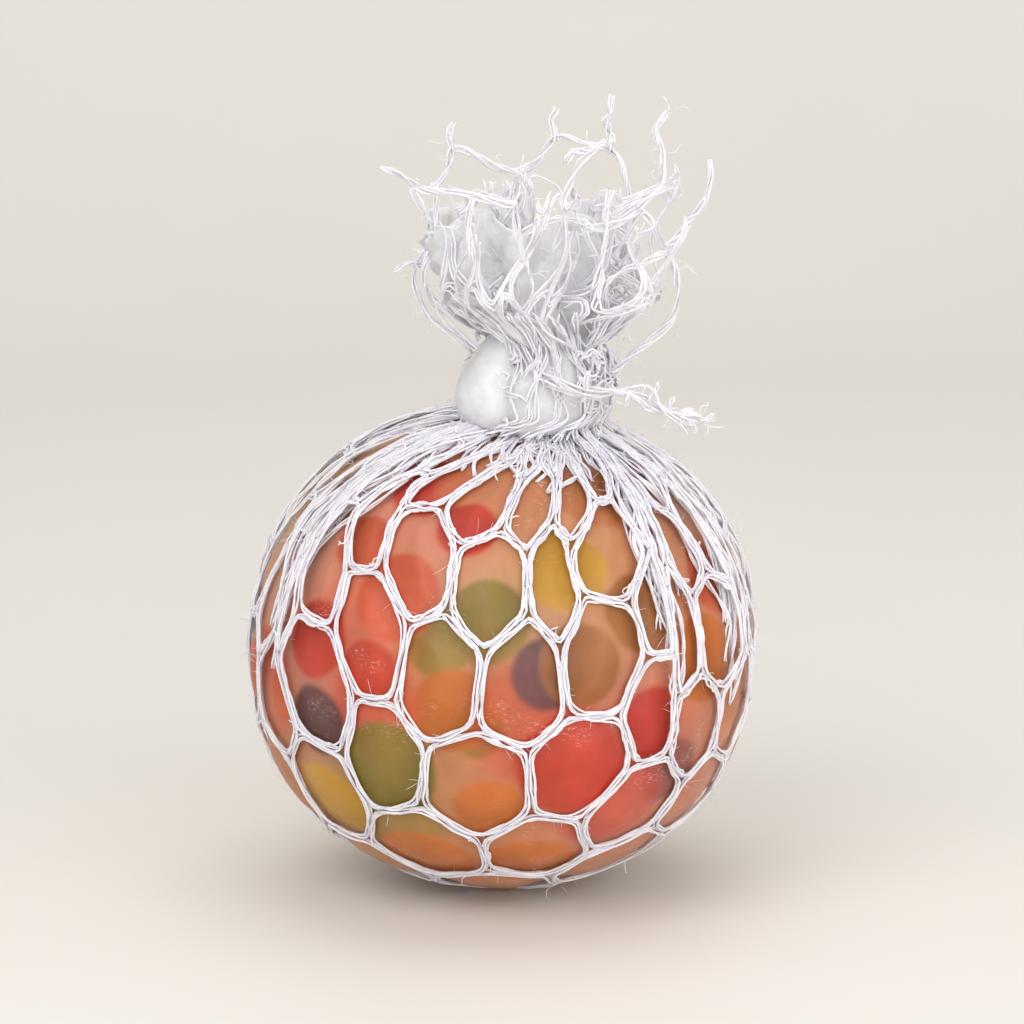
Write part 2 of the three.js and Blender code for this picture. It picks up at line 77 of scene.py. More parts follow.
def off_azimuth(phi, azimuth):
    """The angle from an azimuth round to phi, from -pi to pi."""
    return np.mod(phi - azimuth + math.pi, TURN) - math.pi


NET_LOW, NET_HIGH = cad_box("net_bag")
TIE_LOW, TIE_HIGH = cad_box("neck_tie")

# The ball's shape, as the CAD model has it
BALL_RADIUS = (NET_HIGH[1] - NET_LOW[1]) / 2
BALL_HALF_HEIGHT = 30.5
SAG = 0.03
LEAN = degrees(11)
LEAN_AZIMUTH = degrees(-24)
NECK = np.array([*(TIE_LOW + TIE_HIGH)[:2] / 2, TIE_LOW[2] - 1.3])
NECK_ANGLE = degrees(171)  # how far up the ball its skin goes
SKIN_WALL = 0.9
SKIN_INSET = 0.75
SKIN_BULGE = 0.6
FOOT_RADIUS = 4.6

# The netting, as knitted and as it is drawn round the ball
CELL = 12.95
LATTICE_TURN = degrees(-6.6)
LATTICE_SHIFT = np.array([-5.6, 0.5])
STRETCH = 1.165
SHEET_RADIUS = 31.5
GATHER_RATE = 0.32
FULL_PLEAT = -58  # the thickest pleat, in degrees round from the front
PLEATS = sorted(from_front(a) % TURN for a in (-158, -108, FULL_PLEAT, 40, 66, 104, 152))
PLEAT_SQUEEZE = 0.16
PLEAT_RISE = 1.5
PLEAT_WIDTH = degrees(9)
FILAMENT = 0.15
NET_INSET = 0.35
LIFT_ANGLE = degrees(156)  # where the net turns up from the ball to the neck
LIFT_LENGTH = 9.0
LIFT_HEIGHT = 1.0

# The photograph's view
CAMERA_ELEVATION = degrees(11)
CAMERA_DISTANCE = 600.0
CAMERA_TARGET = np.array([1.4, 0, 48.3])
CAMERA_LENS = 166.0


# --- Shapes ---


def smooth(t):
    """Goes from 0 to 1 as t does, with no corner at either end."""
    t = np.clip(t, 0, 1)
    return t * t * (3 - 2 * t)


def unit(vectors):
    """The same directions with length 1."""
    return vectors / np.maximum(np.linalg.norm(vectors, axis=-1, keepdims=True), 1e-9)


def ball_point(theta, phi, inset):
    """Points of the ball, inset mm inside the net's outer face."""
    theta, phi = np.broadcast_arrays(np.asarray(theta, float), np.asarray(phi, float))
    tilt = LEAN * (1 - np.cos(theta)) / 2
    out = np.stack([np.sin(theta) * np.cos(phi), np.sin(theta) * np.sin(phi), -np.cos(theta)], -1)
    axis = np.array([-math.sin(LEAN_AZIMUTH), math.cos(LEAN_AZIMUTH), 0])
    cos, sin = np.cos(tilt)[..., None], np.sin(tilt)[..., None]
    out = out * cos + np.cross(axis, out) * sin + axis * (out @ axis)[..., None] * (1 - cos)
    low = np.where(out[..., 2] < 0, 4 * out[..., 2] ** 2 * (1 - out[..., 2] ** 2), 0)
    across = (BALL_RADIUS - inset) * (1 + SAG * low)
    height = BALL_HALF_HEIGHT + out[..., 2] * (BALL_HALF_HEIGHT - inset)
    return np.stack([out[..., 0] * across, out[..., 1] * across, height], -1)


def gathered(theta, phi):
    """The azimuth on the ball of a point of the sheet, which is bunched up at each pleat."""
    rate = 1 + GATHER_RATE * smooth((theta - degrees(70)) / degrees(70))
    phi = np.mod(phi, TURN)
    after = np.searchsorted(PLEATS, phi) % len(PLEATS)
    pleats = np.array(PLEATS)
    gap = np.mod(pleats[after] - pleats[after - 1], TURN)
    past = np.mod(phi - pleats[after - 1], TURN)
    near = np.minimum(past, gap - past)
    bunched = gap / 2 * (rate - 1) / (rate - PLEAT_SQUEEZE)
    moved = np.where(
        near < bunched,
        PLEAT_SQUEEZE * near,
        PLEAT_SQUEEZE * bunched + rate * (near - bunched),
    )
    return np.where(past < gap / 2, pleats[after - 1] + moved, pleats[after] - moved)


def pleat_ridge(theta, phi):
    """How much a pleat stands up there, from 0 to 1."""
    away = np.min([np.abs(off_azimuth(phi, pleat)) for pleat in PLEATS], axis=0)
    return np.exp(-((away / PLEAT_WIDTH) ** 2)) * smooth((theta - degrees(65)) / degrees(50))


# Where the net has been tugged out of line: (angle up the ball, degrees round from the front, reach
# in degrees, degrees moved up, degrees moved round)
TUGS = [
    (115, -5, 25, 2.5, 0),
    (128, -33, 16, 0, -10),
    (140, -27, 12, 0, -7),
    (128, 17, 11, 0, -6),
    (80, 22, 15, 0, 5),
    (58, -5, 28, -2, 0),
]


def tugged(theta, phi):
    """A place on the ball moved by the tugs near it."""
    up, sideways = np.zeros_like(theta), np.zeros_like(phi)
    for level, azimuth, reach, rise, turn in TUGS:
        across = off_azimuth(phi, from_front(azimuth))
        away = np.hypot(theta - degrees(level), across * math.sin(degrees(level)))
        near = np.exp(-((away / degrees(reach)) ** 2))
        up = up + degrees(rise) * near
        sideways = sideways + degrees(turn) * near
    return theta + up, phi + sideways


def netted(x, y, height=0.0):
    """Where a point of the flat netting lies: on the ball, then turning up the neck."""
    theta = np.hypot(x, y) * STRETCH / SHEET_RADIUS
    theta, phi = tugged(theta, gathered(theta, np.arctan2(y, x)))
    rise = height + PLEAT_RISE * pleat_ridge(theta, phi)
    point = ball_point(np.minimum(theta, NECK_ANGLE), phi, NET_INSET - rise)
    beyond = np.maximum(theta - LIFT_ANGLE, 0) * SHEET_RADIUS / LIFT_LENGTH
    point[..., 2] += LIFT_HEIGHT * beyond**2
    return point


# --- Meshes ---


def mesh_object(name, points, faces):
    """A smooth-shaded mesh object from points in millimetres."""
    mesh = bpy.data.meshes.new(name)
    mesh.from_pydata((np.asarray(points) / 1000).tolist(), [], faces)
    mesh.validate()
    mesh.polygons.foreach_set("use_smooth", [True] * len(mesh.polygons))
    obj = bpy.data.objects.new(name, mesh)
    bpy.context.scene.collection.objects.link(obj)
    return obj


ANY_DIRECTION = [0.31, 0.2, 0.93]  # to which no filament starts parallel


def frames(line, closed):
    """Two directions square to a line at each of its points, turned as little as possible."""
    if closed:
        along = np.roll(line, -1, 0) - np.roll(line, 1, 0)
    else:
        along = np.gradient(line, axis=0)
    along = unit(along)
    side = unit(np.cross(along[0], ANY_DIRECTION))
    sides = np.empty_like(line)
    for k, tangent in enumerate(along):
        side = side - tangent * (side @ tangent)
        side = side / max(math.sqrt(side @ side), 1e-9)
        sides[k] = side
    over = np.cross(along, sides)
    if closed:
        last = sides[0] - along[-1] * (sides[0] @ along[-1])
        twist = math.atan2(last @ over[-1], last @ sides[-1])
        turn = (twist * np.linspace(0, 1, len(line)))[:, None]
        sides, over = (
            sides * np.cos(turn) + over * np.sin(turn),
            over * np.cos(turn) - sides * np.sin(turn),
        )
    return sides, over


class Yarn:
    """Collects round filaments and makes one mesh of them. None goes below the floor."""

    def __init__(self, sides=5):
        self.sides = sides
        self.points = []
        self.faces = []
        self.count = 0

    def add(self, line, radius, closed=False, ends=0.55, sides=None):
        """radius may be one number or one for each point. ends thins an open filament's two ends."""
        line = np.array(line, float)
        count, sides = len(line), sides or self.sides
        radius = np.broadcast_to(np.asarray(radius, float), (count,)).copy()
        line[:, 2] = np.maximum(line[:, 2], radius)
        if not closed:
            radius[[0, -1]] *= ends
        side, over = frames(line, closed)
        angle = TURN * np.arange(sides) / sides
        ring = side[:, None] * np.cos(angle)[:, None] + over[:, None] * np.sin(angle)[:, None]
        self.points.append((line[:, None] + ring * radius[:, None, None]).reshape(-1, 3))
        steps = count if closed else count - 1
        i = np.arange(steps)[:, None] * sides
        j = (np.arange(steps)[:, None] + 1) % count * sides
        k = np.arange(sides)[None]
        following = (k + 1) % sides
        quads = np.stack([i + k, i + following, j + following, j + k], -1).reshape(-1, 4)
        self.faces.extend((quads + self.count).tolist())
        if not closed:
            self.faces.append([self.count + n for n in reversed(range(sides))])
            self.faces.append([self.count + (count - 1) * sides + n for n in range(sides)])
        self.count += count * sides

    def object(self, name):
        return mesh_object(name, np.concatenate(self.points), self.faces)


def curve_through(points, step):
    """A smooth line through given points, with a point about every step mm."""
    points = np.asarray(points, float)
    padded = np.vstack([2 * points[0] - points[1], points, 2 * points[-1] - points[-2]])
    line = []
    for a, b, c, d in zip(padded, padded[1:], padded[2:], padded[3:]):
        count = max(2, round(np.linalg.norm(c - b) / step))
        t = np.linspace(0, 1, count, endpoint=False)[:, None]
        squared = (2 * a - 5 * b + 4 * c - d) * t**2
        cubed = (3 * b - a - 3 * c + d) * t**3
        line.append(0.5 * (2 * b + (c - a) * t + squared + cubed))
    line.append(points[-1:])
    return np.vstack(line)


def wander(count, size, waves=(1, 2, 3, 5), closed=False):
    """A random smooth wave along a line, size mm high."""
    t = np.linspace(0, TURN if closed else math.pi, count, endpoint=not closed)
    phases = rng.uniform(0, TURN, len(waves))
    heights = rng.normal(0, 1, len(waves)) / np.sqrt(waves)
    return size * sum(h * np.sin(n * t + p) for n, h, p in zip(waves, heights, phases))


def loop_smoothed(line, times):
    """A closed line with its corners rounded off."""
    for _ in range(times):
        line = (np.roll(line, 1, 0) + 2 * line + np.roll(line, -1, 0)) / 4
    return line


# --- Materials ---


def linear(red, green, blue):
    """A colour given in the usual 0 to 255 screen values."""
    shares = (red / 255, green / 255, blue / 255)
    return tuple(v / 12.92 if v <= 0.04045 else ((v + 0.055) / 1.055) ** 2.4 for v in shares)


class Look:
    """A Principled material with short calls for its texture nodes."""

    def __init__(self, name, colour, roughness, subsurface=(0, 0.05), coat=(0, 0.03), sheen=(0, 0.5)):
        """subsurface is (weight, scale); coat and sheen are (weight, roughness)."""
        self.material = bpy.data.materials.new(name)
        self.material.use_nodes = True
        self.tree = self.material.node_tree
        self.shader = self.tree.nodes["Principled BSDF"]
        self.set("Base Color", (*colour, 1))
        self.set("Roughness", roughness)
        self.set("Subsurface Radius", (1, 1, 1))
        for layer, second, values in (
            ("Subsurface", "Scale", subsurface),
            ("Coat", "Roughness", coat),
            ("Sheen", "Roughness", sheen),
        ):
            self.set(f"{layer} Weight", values[0])
            self.set(f"{layer} {second}", values[1])
        self.place = self.node("ShaderNodeTexCoord").outputs["Object"]

    def set(self, socket, value):
        self.shader.inputs[socket].default_value = value

    def drive(self, socket, out):
        self.link(out, self.shader.inputs[socket])

    def cloud(self, value, *stops):
        """The base colour goes from one stop to the next as value does."""
        self.drive("Base Color", self.ramp(value, *stops))

    def node(self, kind, **settings):
        node = self.tree.nodes.new(kind)
        for key, value in settings.items():
            setattr(node, key, value)
        return node

    def link(self, out, into):
        self.tree.links.new(out, into)

    def noise(self, per_metre, detail=4.0, rough=0.6, stretch=(1, 1, 1)):
        node = self.node("ShaderNodeTexNoise")
        mapping = self.node("ShaderNodeMapping")
        mapping.inputs["Scale"].default_value = stretch
        self.link(self.place, mapping.inputs["Vector"])
        self.link(mapping.outputs["Vector"], node.inputs["Vector"])
        node.inputs["Scale"].default_value = per_metre
        node.inputs["Detail"].default_value = detail
        node.inputs["Roughness"].default_value = rough
        return node.outputs["Fac"]

    def ramp(self, value, *stops):
        """stops are (position, colour or grey value)."""
        node = self.node("ShaderNodeValToRGB")
        elements = node.color_ramp.elements
        while len(elements) < len(stops):
            elements.new(0.5)
        for element, (position, colour) in zip(elements, stops):
            element.position = position
            element.color = (*colour, 1) if isinstance(colour, tuple) else (colour, colour, colour, 1)
        self.link(value, node.inputs["Fac"])
        return node.outputs["Color"]

    def mixed(self, amount, first, second, blend="MIX"):
        """amount, first and second may be sockets or values."""
        node = self.node("ShaderNodeMix", data_type="RGBA", blend_type=blend)
        for socket, value in (("Factor", amount), ("A", first), ("B", second)):
            kind = "Float" if socket == "Factor" else "Color"
            into = next(s for s in node.inputs if s.identifier == f"{socket}_{kind}")
            if isinstance(value, bpy.types.NodeSocket):
                self.link(value, into)
            else:
                into.default_value = (*value, 1) if isinstance(value, tuple) else value
        return next(s for s in node.outputs if s.identifier == "Result_Color")

    def bump(self, *layers):
        """layers are (height socket, depth in millimetres)."""
        normal = None
        for height, depth in layers:
            node = self.node("ShaderNodeBump")
            node.inputs["Strength"].default_value = 1.0
            node.inputs["Distance"].default_value = depth / 1000
            self.link(height, node.inputs["Height"])
            if normal:
                self.link(normal, node.inputs["Normal"])
            normal = node.outputs["Normal"]
        self.link(normal, self.shader.inputs["Normal"])


GEL = {
    "red": linear(196, 42, 32),
    "coral": linear(205, 82, 48),
    "orange": linear(196, 104, 30),
    "amber": linear(160, 96, 38),
    "yellow": linear(190, 140, 28),
    "olive": linear(128, 112, 34),
    "plum": linear(84, 52, 56),
    "tan": linear(176, 104, 58),
}
HAZE = linear(191, 148, 124)
MILK = linear(232, 232, 230)
YARN = linear(246, 243, 249)


def gel_look(colour):
    """Swollen gel: clear and wet, a little darker and lighter in clouds."""
    base = GEL[colour]
    look = Look(f"gel_{colour}", base, 0.3, subsurface=(0.35, 0.004), coat=(0.1, 0.3))
    look.set("Subsurface Radius", (1.0, 0.5, 0.3))
    deep = tuple(0.72 * v for v in base)
    pale = tuple(min(1, 1.12 * v + 0.015) for v in base)
    look.cloud(look.noise(260, 3, 0.5), (0.3, deep), (0.75, pale))
    look.drive("Roughness", look.ramp(look.noise(900, 2), (0.4, 0.25), (0.8, 0.4)))
    look.bump((look.noise(500, 2, 0.4), 0.05))
    return look.material


def skin_look():
    """The clear milky skin: its colour and cloudiness are set point by point. Its scuffs and fine
    scratches are painted whitish: partly wear, partly painted highlights for small glints."""
    look = Look("clear_skin", HAZE, 0.4, subsurface=(0.15, 0.003))
    painted = look.node("ShaderNodeAttribute", attribute_name="seen_through")
    mottle = look.ramp(look.noise(180, 5, 0.65), (0.3, 0.86), (0.7, 1.06))
    tinted = look.mixed(1.0, painted.outputs["Color"], mottle, "MULTIPLY")
    # Whitish scuffs and scratches painted into the base colour: partly wear, partly painted highlights that
    # stand for small glints.
    scuff_and_glint = look.ramp(look.noise(1500, 6, 0.75, (1, 1, 3)), (0.54, 0.0), (0.66, 1.0))
    scuffed_patches_and_glints = look.ramp(look.noise(120, 2), (0.58, 0.0), (0.7, 0.7))
    marks = look.mixed(1.0, scuff_and_glint, scuffed_patches_and_glints, "MULTIPLY")
    look.drive("Base Color", look.mixed(marks, tinted, linear(232, 214, 204)))
    look.drive("Alpha", painted.outputs["Alpha"])
    look.drive("Roughness", look.ramp(look.noise(700, 4), (0.3, 0.36), (0.75, 0.58)))
    look.bump((look.noise(160, 3, 0.5), 0.25), (look.noise(2200, 3, 0.7), 0.02))
    return look.material


def liquid_look():
    """Cloudy water, tinted by the beads in it."""
    look = Look("filling", HAZE, 0.3, subsurface=(0.4, 0.006))
    look.cloud(
        look.noise(150, 4, 0.6),
        (0.3, linear(172, 84, 52)),
        (0.5, linear(196, 122, 84)),
        (0.72, linear(178, 138, 84)),
    )
    look.bump((look.noise(400, 3), 0.2))
    return look.material


def yarn_look():
    """White knitted yarn with a faint lavender cast, dull and fibrous."""
    look = Look("net_yarn", YARN, 0.85, subsurface=(0.3, 0.0012), sheen=(0.35, 0.5))
    look.set("Sheen Tint", (0.92, 0.88, 1.0, 1))
    patches = look.ramp(
        look.noise(420, 4),
        (0.3, linear(229, 224, 236)),
        (0.5, linear(240, 237, 243)),
        (0.7, linear(248, 247, 250)),
    )
    fibres = look.ramp(look.noise(5200, 5, 0.75, (1, 1, 0.35)), (0.35, 0.9), (0.65, 1.03))
    look.drive("Base Color", look.mixed(1.0, patches, fibres, "MULTIPLY"))
    look.drive("Roughness", look.ramp(look.noise(2600, 3), (0.3, 0.7), (0.7, 0.95)))
    look.bump((look.noise(6500, 4, 0.7, (1, 1, 0.4)), 0.07), (look.noise(1800, 3), 0.05))
    return look.material


def milky_look(name, opacity, grey_with_painted_light):
    """The skin where it is crumpled up over the tie: cloudy, with whiter stress marks. The third
    argument is the grey of its darkest clouds: lower on the collar as painted shade, higher on the film as
    painted light."""
    look = Look(name, MILK, 0.4, subsurface=(0.6, 0.006), coat=(0.1, 0.3))
    look.cloud(
        look.noise(240, 5, 0.6),
        (0.3, linear(grey_with_painted_light, grey_with_painted_light - 1, grey_with_painted_light + 2)),
        (0.55, linear(grey_with_painted_light + 7, grey_with_painted_light + 6, grey_with_painted_light + 9)),
        (0.75, linear(grey_with_painted_light + 14, grey_with_painted_light + 13, grey_with_painted_light + 15)),
    )
    look.drive("Alpha", look.ramp(look.noise(330, 4), (0.3, opacity), (0.7, min(1.0, opacity + 0.2))))
    look.drive("Roughness", look.ramp(look.noise(900, 3), (0.3, 0.32), (0.7, 0.52)))
    look.bump((look.noise(300, 3, 0.5), 0.2), (look.noise(2600, 3), 0.02))
    return look.material


# --- The net round the ball ---

NET_REACH = 84.0
LOOP_STEPS = 7
# The filaments that run round each cell: (how far inside its outline, how far it wanders)
CELL_FILAMENTS = [(0.12, 0.13), (0.3, 0.3), (0.52, 0.13), (0.3, 0.3)]
KNOT_SHIFT = 0.55
HEXAGON = [degrees(30 + 60 * k) for k in range(6)]


def lattice(reach):
    """The centres of the netting's cells, within reach of the sheet's middle."""
    most = math.ceil(reach / CELL) + 3
    for i in range(-most, most + 1):
        for j in range(-most, most + 1):
            along, over = (i + j / 2) * CELL, j * math.sqrt(3) / 2 * CELL
            cos, sin = math.cos(LATTICE_TURN), math.sin(LATTICE_TURN)
            centre = np.array([along * cos - over * sin, along * sin + over * cos]) + LATTICE_SHIFT
            if np.hypot(*centre) <= reach:
                yield centre


def corner_shift(corner):
    """A knot's own small displacement, the same for every cell that shares the knot."""
    seed = np.array([12.9, 78.2]) @ np.round(corner, 2)
    return KNOT_SHIFT * np.array([math.sin(7.3 * seed), math.sin(11.1 * seed + 2)])


def hexagon_line(centre, turn):
    """The outline of a cell of the flat sheet, with LOOP_STEPS points a side."""
    side = CELL / math.sqrt(3)
    corners = [centre + side * np.array([math.cos(turn + a), math.sin(turn + a)]) for a in HEXAGON]
    corners = np.array([c + corner_shift(c) for c in corners])
    t = np.linspace(0, 1, LOOP_STEPS, endpoint=False)[:, None]
    return np.vstack([a + (b - a) * t for a, b in zip(corners, np.roll(corners, -1, 0))])


def inset_loop(line, inward, inset):
    """A closed line moved inwards, by less where the cell is narrow."""
    side = np.cross(inward, unit(np.roll(line, -1, 0) - np.roll(line, 1, 0)))
    middle = line.mean(0)
    if np.einsum("ij,ij->i", side, middle - line).sum() < 0:
        side = -side
    area = np.linalg.norm(np.cross(line - middle, np.roll(line, -1, 0) - middle).sum(0)) / 2
    perimeter = np.linalg.norm(np.roll(line, -1, 0) - line, axis=1).sum()
    return line + side * min(inset, 0.7 * area / perimeter)


def off_middle(points):
    """From the ball's middle to a point or points."""
    return points - np.array([0, 0, BALL_HALF_HEIGHT])


def ball_outward(points):
    """The directions away from the ball's middle."""
    return unit(off_middle(points))


def net_on_ball():
    """Each cell is a few filaments that run round it; two cells' filaments make a strand."""
    yarn = Yarn()
    for centre in lattice(NET_REACH):
        flat = hexagon_line(centre, LATTICE_TURN)
        outline = netted(flat[:, 0], flat[:, 1])
        out = ball_outward(outline)
        for ring, (inset, stray) in enumerate(CELL_FILAMENTS):
            line = loop_smoothed(inset_loop(outline, out, inset), 2 + ring % 3)
            side = unit(np.cross(out, np.roll(line, -1, 0) - line))
            line = line + side * wander(len(line), stray, (3, 5, 8, 13), True)[:, None]
            line = line + out * (0.1 * ring + wander(len(line), 0.15, (2, 5, 9), True))[:, None]
            thick = FILAMENT * (1 + wander(len(line), 0.15, (3, 7), True))
            yarn.add(line, thick, closed=True)
    return yarn


# How many extra strands lie bunched in each pleat, and how far down the ball each pleat reaches
PLEAT_STRANDS = 9
FULL_PLEAT_STRANDS = 22
PLEAT_STARTS = degrees(86), degrees(130)
PLEAT_END = degrees(170)
PLEAT_SPREAD = degrees(6)
FULL_PLEAT_SLIP = degrees(-5)  # how far round from their pleat the thickest one's strands lie
NECK_STRANDS = 90
NECK_STRAND_STARTS = 148, 160


def add_pleats(yarn):
    """The layers of netting that are folded together in the pleats, and those drawn in at the neck."""
    for pleat in PLEATS:
        full = math.isclose(pleat, from_front(FULL_PLEAT) % TURN)
        start = pleat + FULL_PLEAT_SLIP if full else pleat
        for _ in range(FULL_PLEAT_STRANDS if full else PLEAT_STRANDS):
            low, height = rng.uniform(*PLEAT_STARTS), rng.uniform(0.2, 1.2)
            add_gathered(yarn, low, PLEAT_END, start, height, rng.normal(0, PLEAT_SPREAD))
    for k in range(NECK_STRANDS):
        azimuth = TURN * (k + rng.uniform(-0.5, 0.5)) / NECK_STRANDS
        low = degrees(rng.uniform(*NECK_STRAND_STARTS))
        add_gathered(yarn, low, NECK_ANGLE, azimuth, rng.uniform(0, 0.7))


def add_gathered(yarn, low, high, azimuth, height, spread=0.0):
    """A strand up to the neck that starts on the net at azimuth and spreads out from it."""
    count = max(5, round((high - low) / degrees(4)))
    theta = np.linspace(low, high, count)
    phi = azimuth + spread * smooth((theta - low) / degrees(35))
    phi = phi + wander(count, 0.04) / np.maximum(np.sin(theta), 0.3)
    over = height * smooth((theta - low) / degrees(25)) + wander(count, 0.12)
    line = curve_through(ball_point(theta, phi, NET_INSET - over), 0.9)
    strand(yarn, line, plies=rng.integers(2, 4), spread=0.2)


KNOTS = 150
HAIRS = 1700
HAIR_RADII = 0.02, 0.04
GATHER_REACH = 20.0


def add_knots(yarn, sources):
    """Small tangles of fibre that sit on the strands, mostly high up the ball."""
    high = sources[sources[:, 2] > rng.uniform(25, 52, len(sources))]
    for start in high[rng.integers(0, len(high), KNOTS)]:
        curl(yarn, start, rng.normal(0, 1, 3), rng.uniform(2, 4), 0.09, 1.8)


def gathered_points(yarn):
    """The points of the netting where it is drawn together under the neck."""
    points = np.concatenate(yarn.points)
    return points[np.linalg.norm(points - NECK, axis=1) < GATHER_REACH]


def add_hairs(yarn, sources, count):
    """The short fine fibres that stand off every strand and make it fuzzy."""
    for start in sources[rng.integers(0, len(sources), count)]:
        away = 0.4 * off_middle(start) / BALL_RADIUS + rng.normal(0, 1, 3)
        bend = start + 0.35 * away + rng.normal(0, 0.12, 3)
        yarn.add([start, bend, bend + 0.4 * away], rng.uniform(*HAIR_RADII), ends=0.4, sides=3)


# --- The neck, the tuft and the corner ---


def over_neck(points):
    """Points measured from the neck, put in their place."""
    return np.asarray(points, float) + NECK


STRAND_TURNS = 0.09  # per millimetre


def laid(side, over, turn):
    """The directions at an angle round from side towards over, at each point of a line."""
    return side * np.cos(turn)[:, None] + over * np.sin(turn)[:, None]


def strand(yarn, line, plies, spread):
    """A few filaments laid loosely round each other along a line."""
    line = np.asarray(line, float)
    side, over = frames(line, False)
    length = np.r_[0, np.cumsum(np.linalg.norm(np.diff(line, axis=0), axis=1))]
    for k in range(plies):
        turn = TURN * (k / plies + STRAND_TURNS * length) + wander(len(line), 0.9)
        away = (spread * (1 + wander(len(line), 0.35)))[:, None]
        thick = FILAMENT * (1 + wander(len(line), 0.12, (3, 7)))
        yarn.add(line + away * laid(side, over, turn), thick)


def curl(yarn, start, direction, length, radius, looseness=0.5):
    """A stray fibre that wanders off."""
    step = 0.5
    heading = unit(direction)
    line = [start]
    for _ in range(max(4, round(length / step))):
        heading = unit(heading + rng.normal(0, looseness, 3))
        line.append(line[-1] + step * heading)
    yarn.add(curve_through(line, 0.35), radius, ends=0.3)


# The outside of the net over the neck: (height, radius)
CROWN_PROFILE = np.array(
    [
        (0.1, 9.4), (0.4, 7.8), (0.9, 6.6), (1.6, 6.2), (3.5, 7.8), (6, 8.8), (9, 8.0),
        (11, 7.4), (14, 9.8), (17, 13.8), (21, 15.8), (26, 15.8), (34, 17),
    ]
)
BARE_AZIMUTH = degrees(-152)
BARE_HALF = degrees(36)
THROAT_STRANDS = 46
THROAT_CROSSINGS = 64

# The skin's collar at its fullest: (radius, height)
COLLAR_PROFILE = np.array(
    [
        (4.4, 1.3), (7.6, 0.3), (10.2, 0.9), (11.5, 3.2), (11.6, 5.6), (10.7, 8.0), (9.0, 10.2),
        (7.0, 12.4), (5.2, 14.5),
    ]
)
COLLAR_LOBE = degrees(58)  # how far its fullest part spreads round from the bare side
COLLAR_LEAST = 0.7


def crown_radius(height):
    """The radius of the net's outside over the neck."""
    return np.interp(height, *CROWN_PROFILE.T)


def off_bare(phi):
    """The angle round from the middle of the bare side, from -pi to pi."""
    return off_azimuth(phi, BARE_AZIMUTH)


def collar_share(phi):
    """How full the collar is at an azimuth."""
    return COLLAR_LEAST + (1 - COLLAR_LEAST) * np.exp(-((off_bare(phi) / COLLAR_LOBE) ** 2))


def collar_radius(phi, height):
    """The radius of the collar, or nothing above and below it."""
    radii, heights = COLLAR_PROFILE[1:].T
    return collar_share(phi) * np.interp(height, heights, radii, left=0, right=0)


def crown_point(phi, height, inward=0.0):
    """On the flared net, inward mm inside its outline. It lies over the collar, all but its bare side."""
    phi = np.asarray(phi, float)
    height = np.asarray(height, float)
    off = off_bare(phi)
    closing = 1 - smooth((height - 9) / 7)
    squeezed = np.sign(off) * (BARE_HALF + np.abs(off) * (math.pi - BARE_HALF) / math.pi)
    phi = BARE_AZIMUTH + off + (squeezed - off) * closing * smooth(height / 3)
    radius = np.maximum(crown_radius(height) - inward, collar_radius(phi, height) + 0.25)
    drift = 1.6 * smooth((height - 12) / 22)
    across, through = radius * np.cos(phi) + drift, radius * np.sin(phi)
    return over_neck(np.stack([across, through, height + 0 * radius], -1))


def net_throat():
    """The gathered strands that go up over the collar, thickly at the right."""
    yarn = Yarn()
    for k in range(THROAT_STRANDS):
        phi = TURN * (k + rng.uniform(-0.4, 0.4)) / THROAT_STRANDS
        heights = np.arange(0.1, 17, 0.9)
        slant = rng.normal(0, 0.25)
        azimuth = phi + slant * smooth(heights / 14) + wander(len(heights), 0.07)
        inward = np.abs(wander(len(heights), 0.5)) + rng.uniform(0, 0.6)
        line = curve_through(crown_point(azimuth, heights, inward), 0.7)
        strand(yarn, line, plies=rng.integers(2, 4), spread=0.28)
    for _ in range(THROAT_CROSSINGS):
        phi, height = rng.uniform(-1.7, 3.0), rng.uniform(0.8, 11)
        steps = np.linspace(0, 1, 8)
        azimuth = phi + rng.uniform(0.4, 1.1) * steps
        heights = np.maximum(height + rng.normal(0, 2.0) * steps + wander(8, 0.5), 0.3)
        line = curve_through(crown_point(azimuth, heights, rng.uniform(-0.9, 0.2)), 0.6)
        strand(yarn, line, plies=2, spread=0.22)
    return yarn


TUFT_CELLS = 30
TUFT_ROWS = 3
TUFT_INSETS = (0.15, 0.5, 0.85)
TUFT_FLUTES = 7
TUFT_FROM = 9.5
TUFT_CUT = 27.5


def tuft_point(along, height):
    """The free net, folded in and out in flutes. along is from 0 to 1 round the sheet's edge."""
    turn = TURN * along
    wave = TUFT_FLUTES * turn + 1.7 * np.sin(2 * turn + 0.6) + 0.05 * height
    open_out = smooth((height - 8) / 9)
    depth = 0.5 - 0.5 * np.cos(wave)
    phi = turn + 0.16 * np.sin(wave) + 0.12 * np.sin(3 * turn + 0.22 * height)
    inward = (0.62 * depth * open_out + 0.1 * np.sin(5 * turn + 0.5 * height)) * crown_radius(height)
    place = crown_point(phi, height, inward)
    place[..., 0] += 0.8 * np.sin(11 * turn + 0.6 * height)
    place[..., 1] += 0.8 * np.sin(13 * turn - 0.5 * height + 1)
    place[..., 2] += 0.9 * np.sin(9 * turn + 0.4 * height)
    return place


def tuft_cut(along):
    """How high the sheet's ragged edge stands."""
    turn = TURN * along
    return TUFT_CUT + 1.5 * np.sin(3 * turn + 1) + 1.4 * np.sin(7 * turn) + 1.2 * np.sin(17 * turn + 2)


def runs(keep):
    """The stretches of a closed line where keep is true, as arrays of indices."""
    order = (np.argmin(keep) + np.arange(len(keep))) % len(keep)
    changes = np.flatnonzero(np.diff(keep[order])) + 1
    return [stretch for stretch in np.split(order, changes) if keep[stretch[0]]]


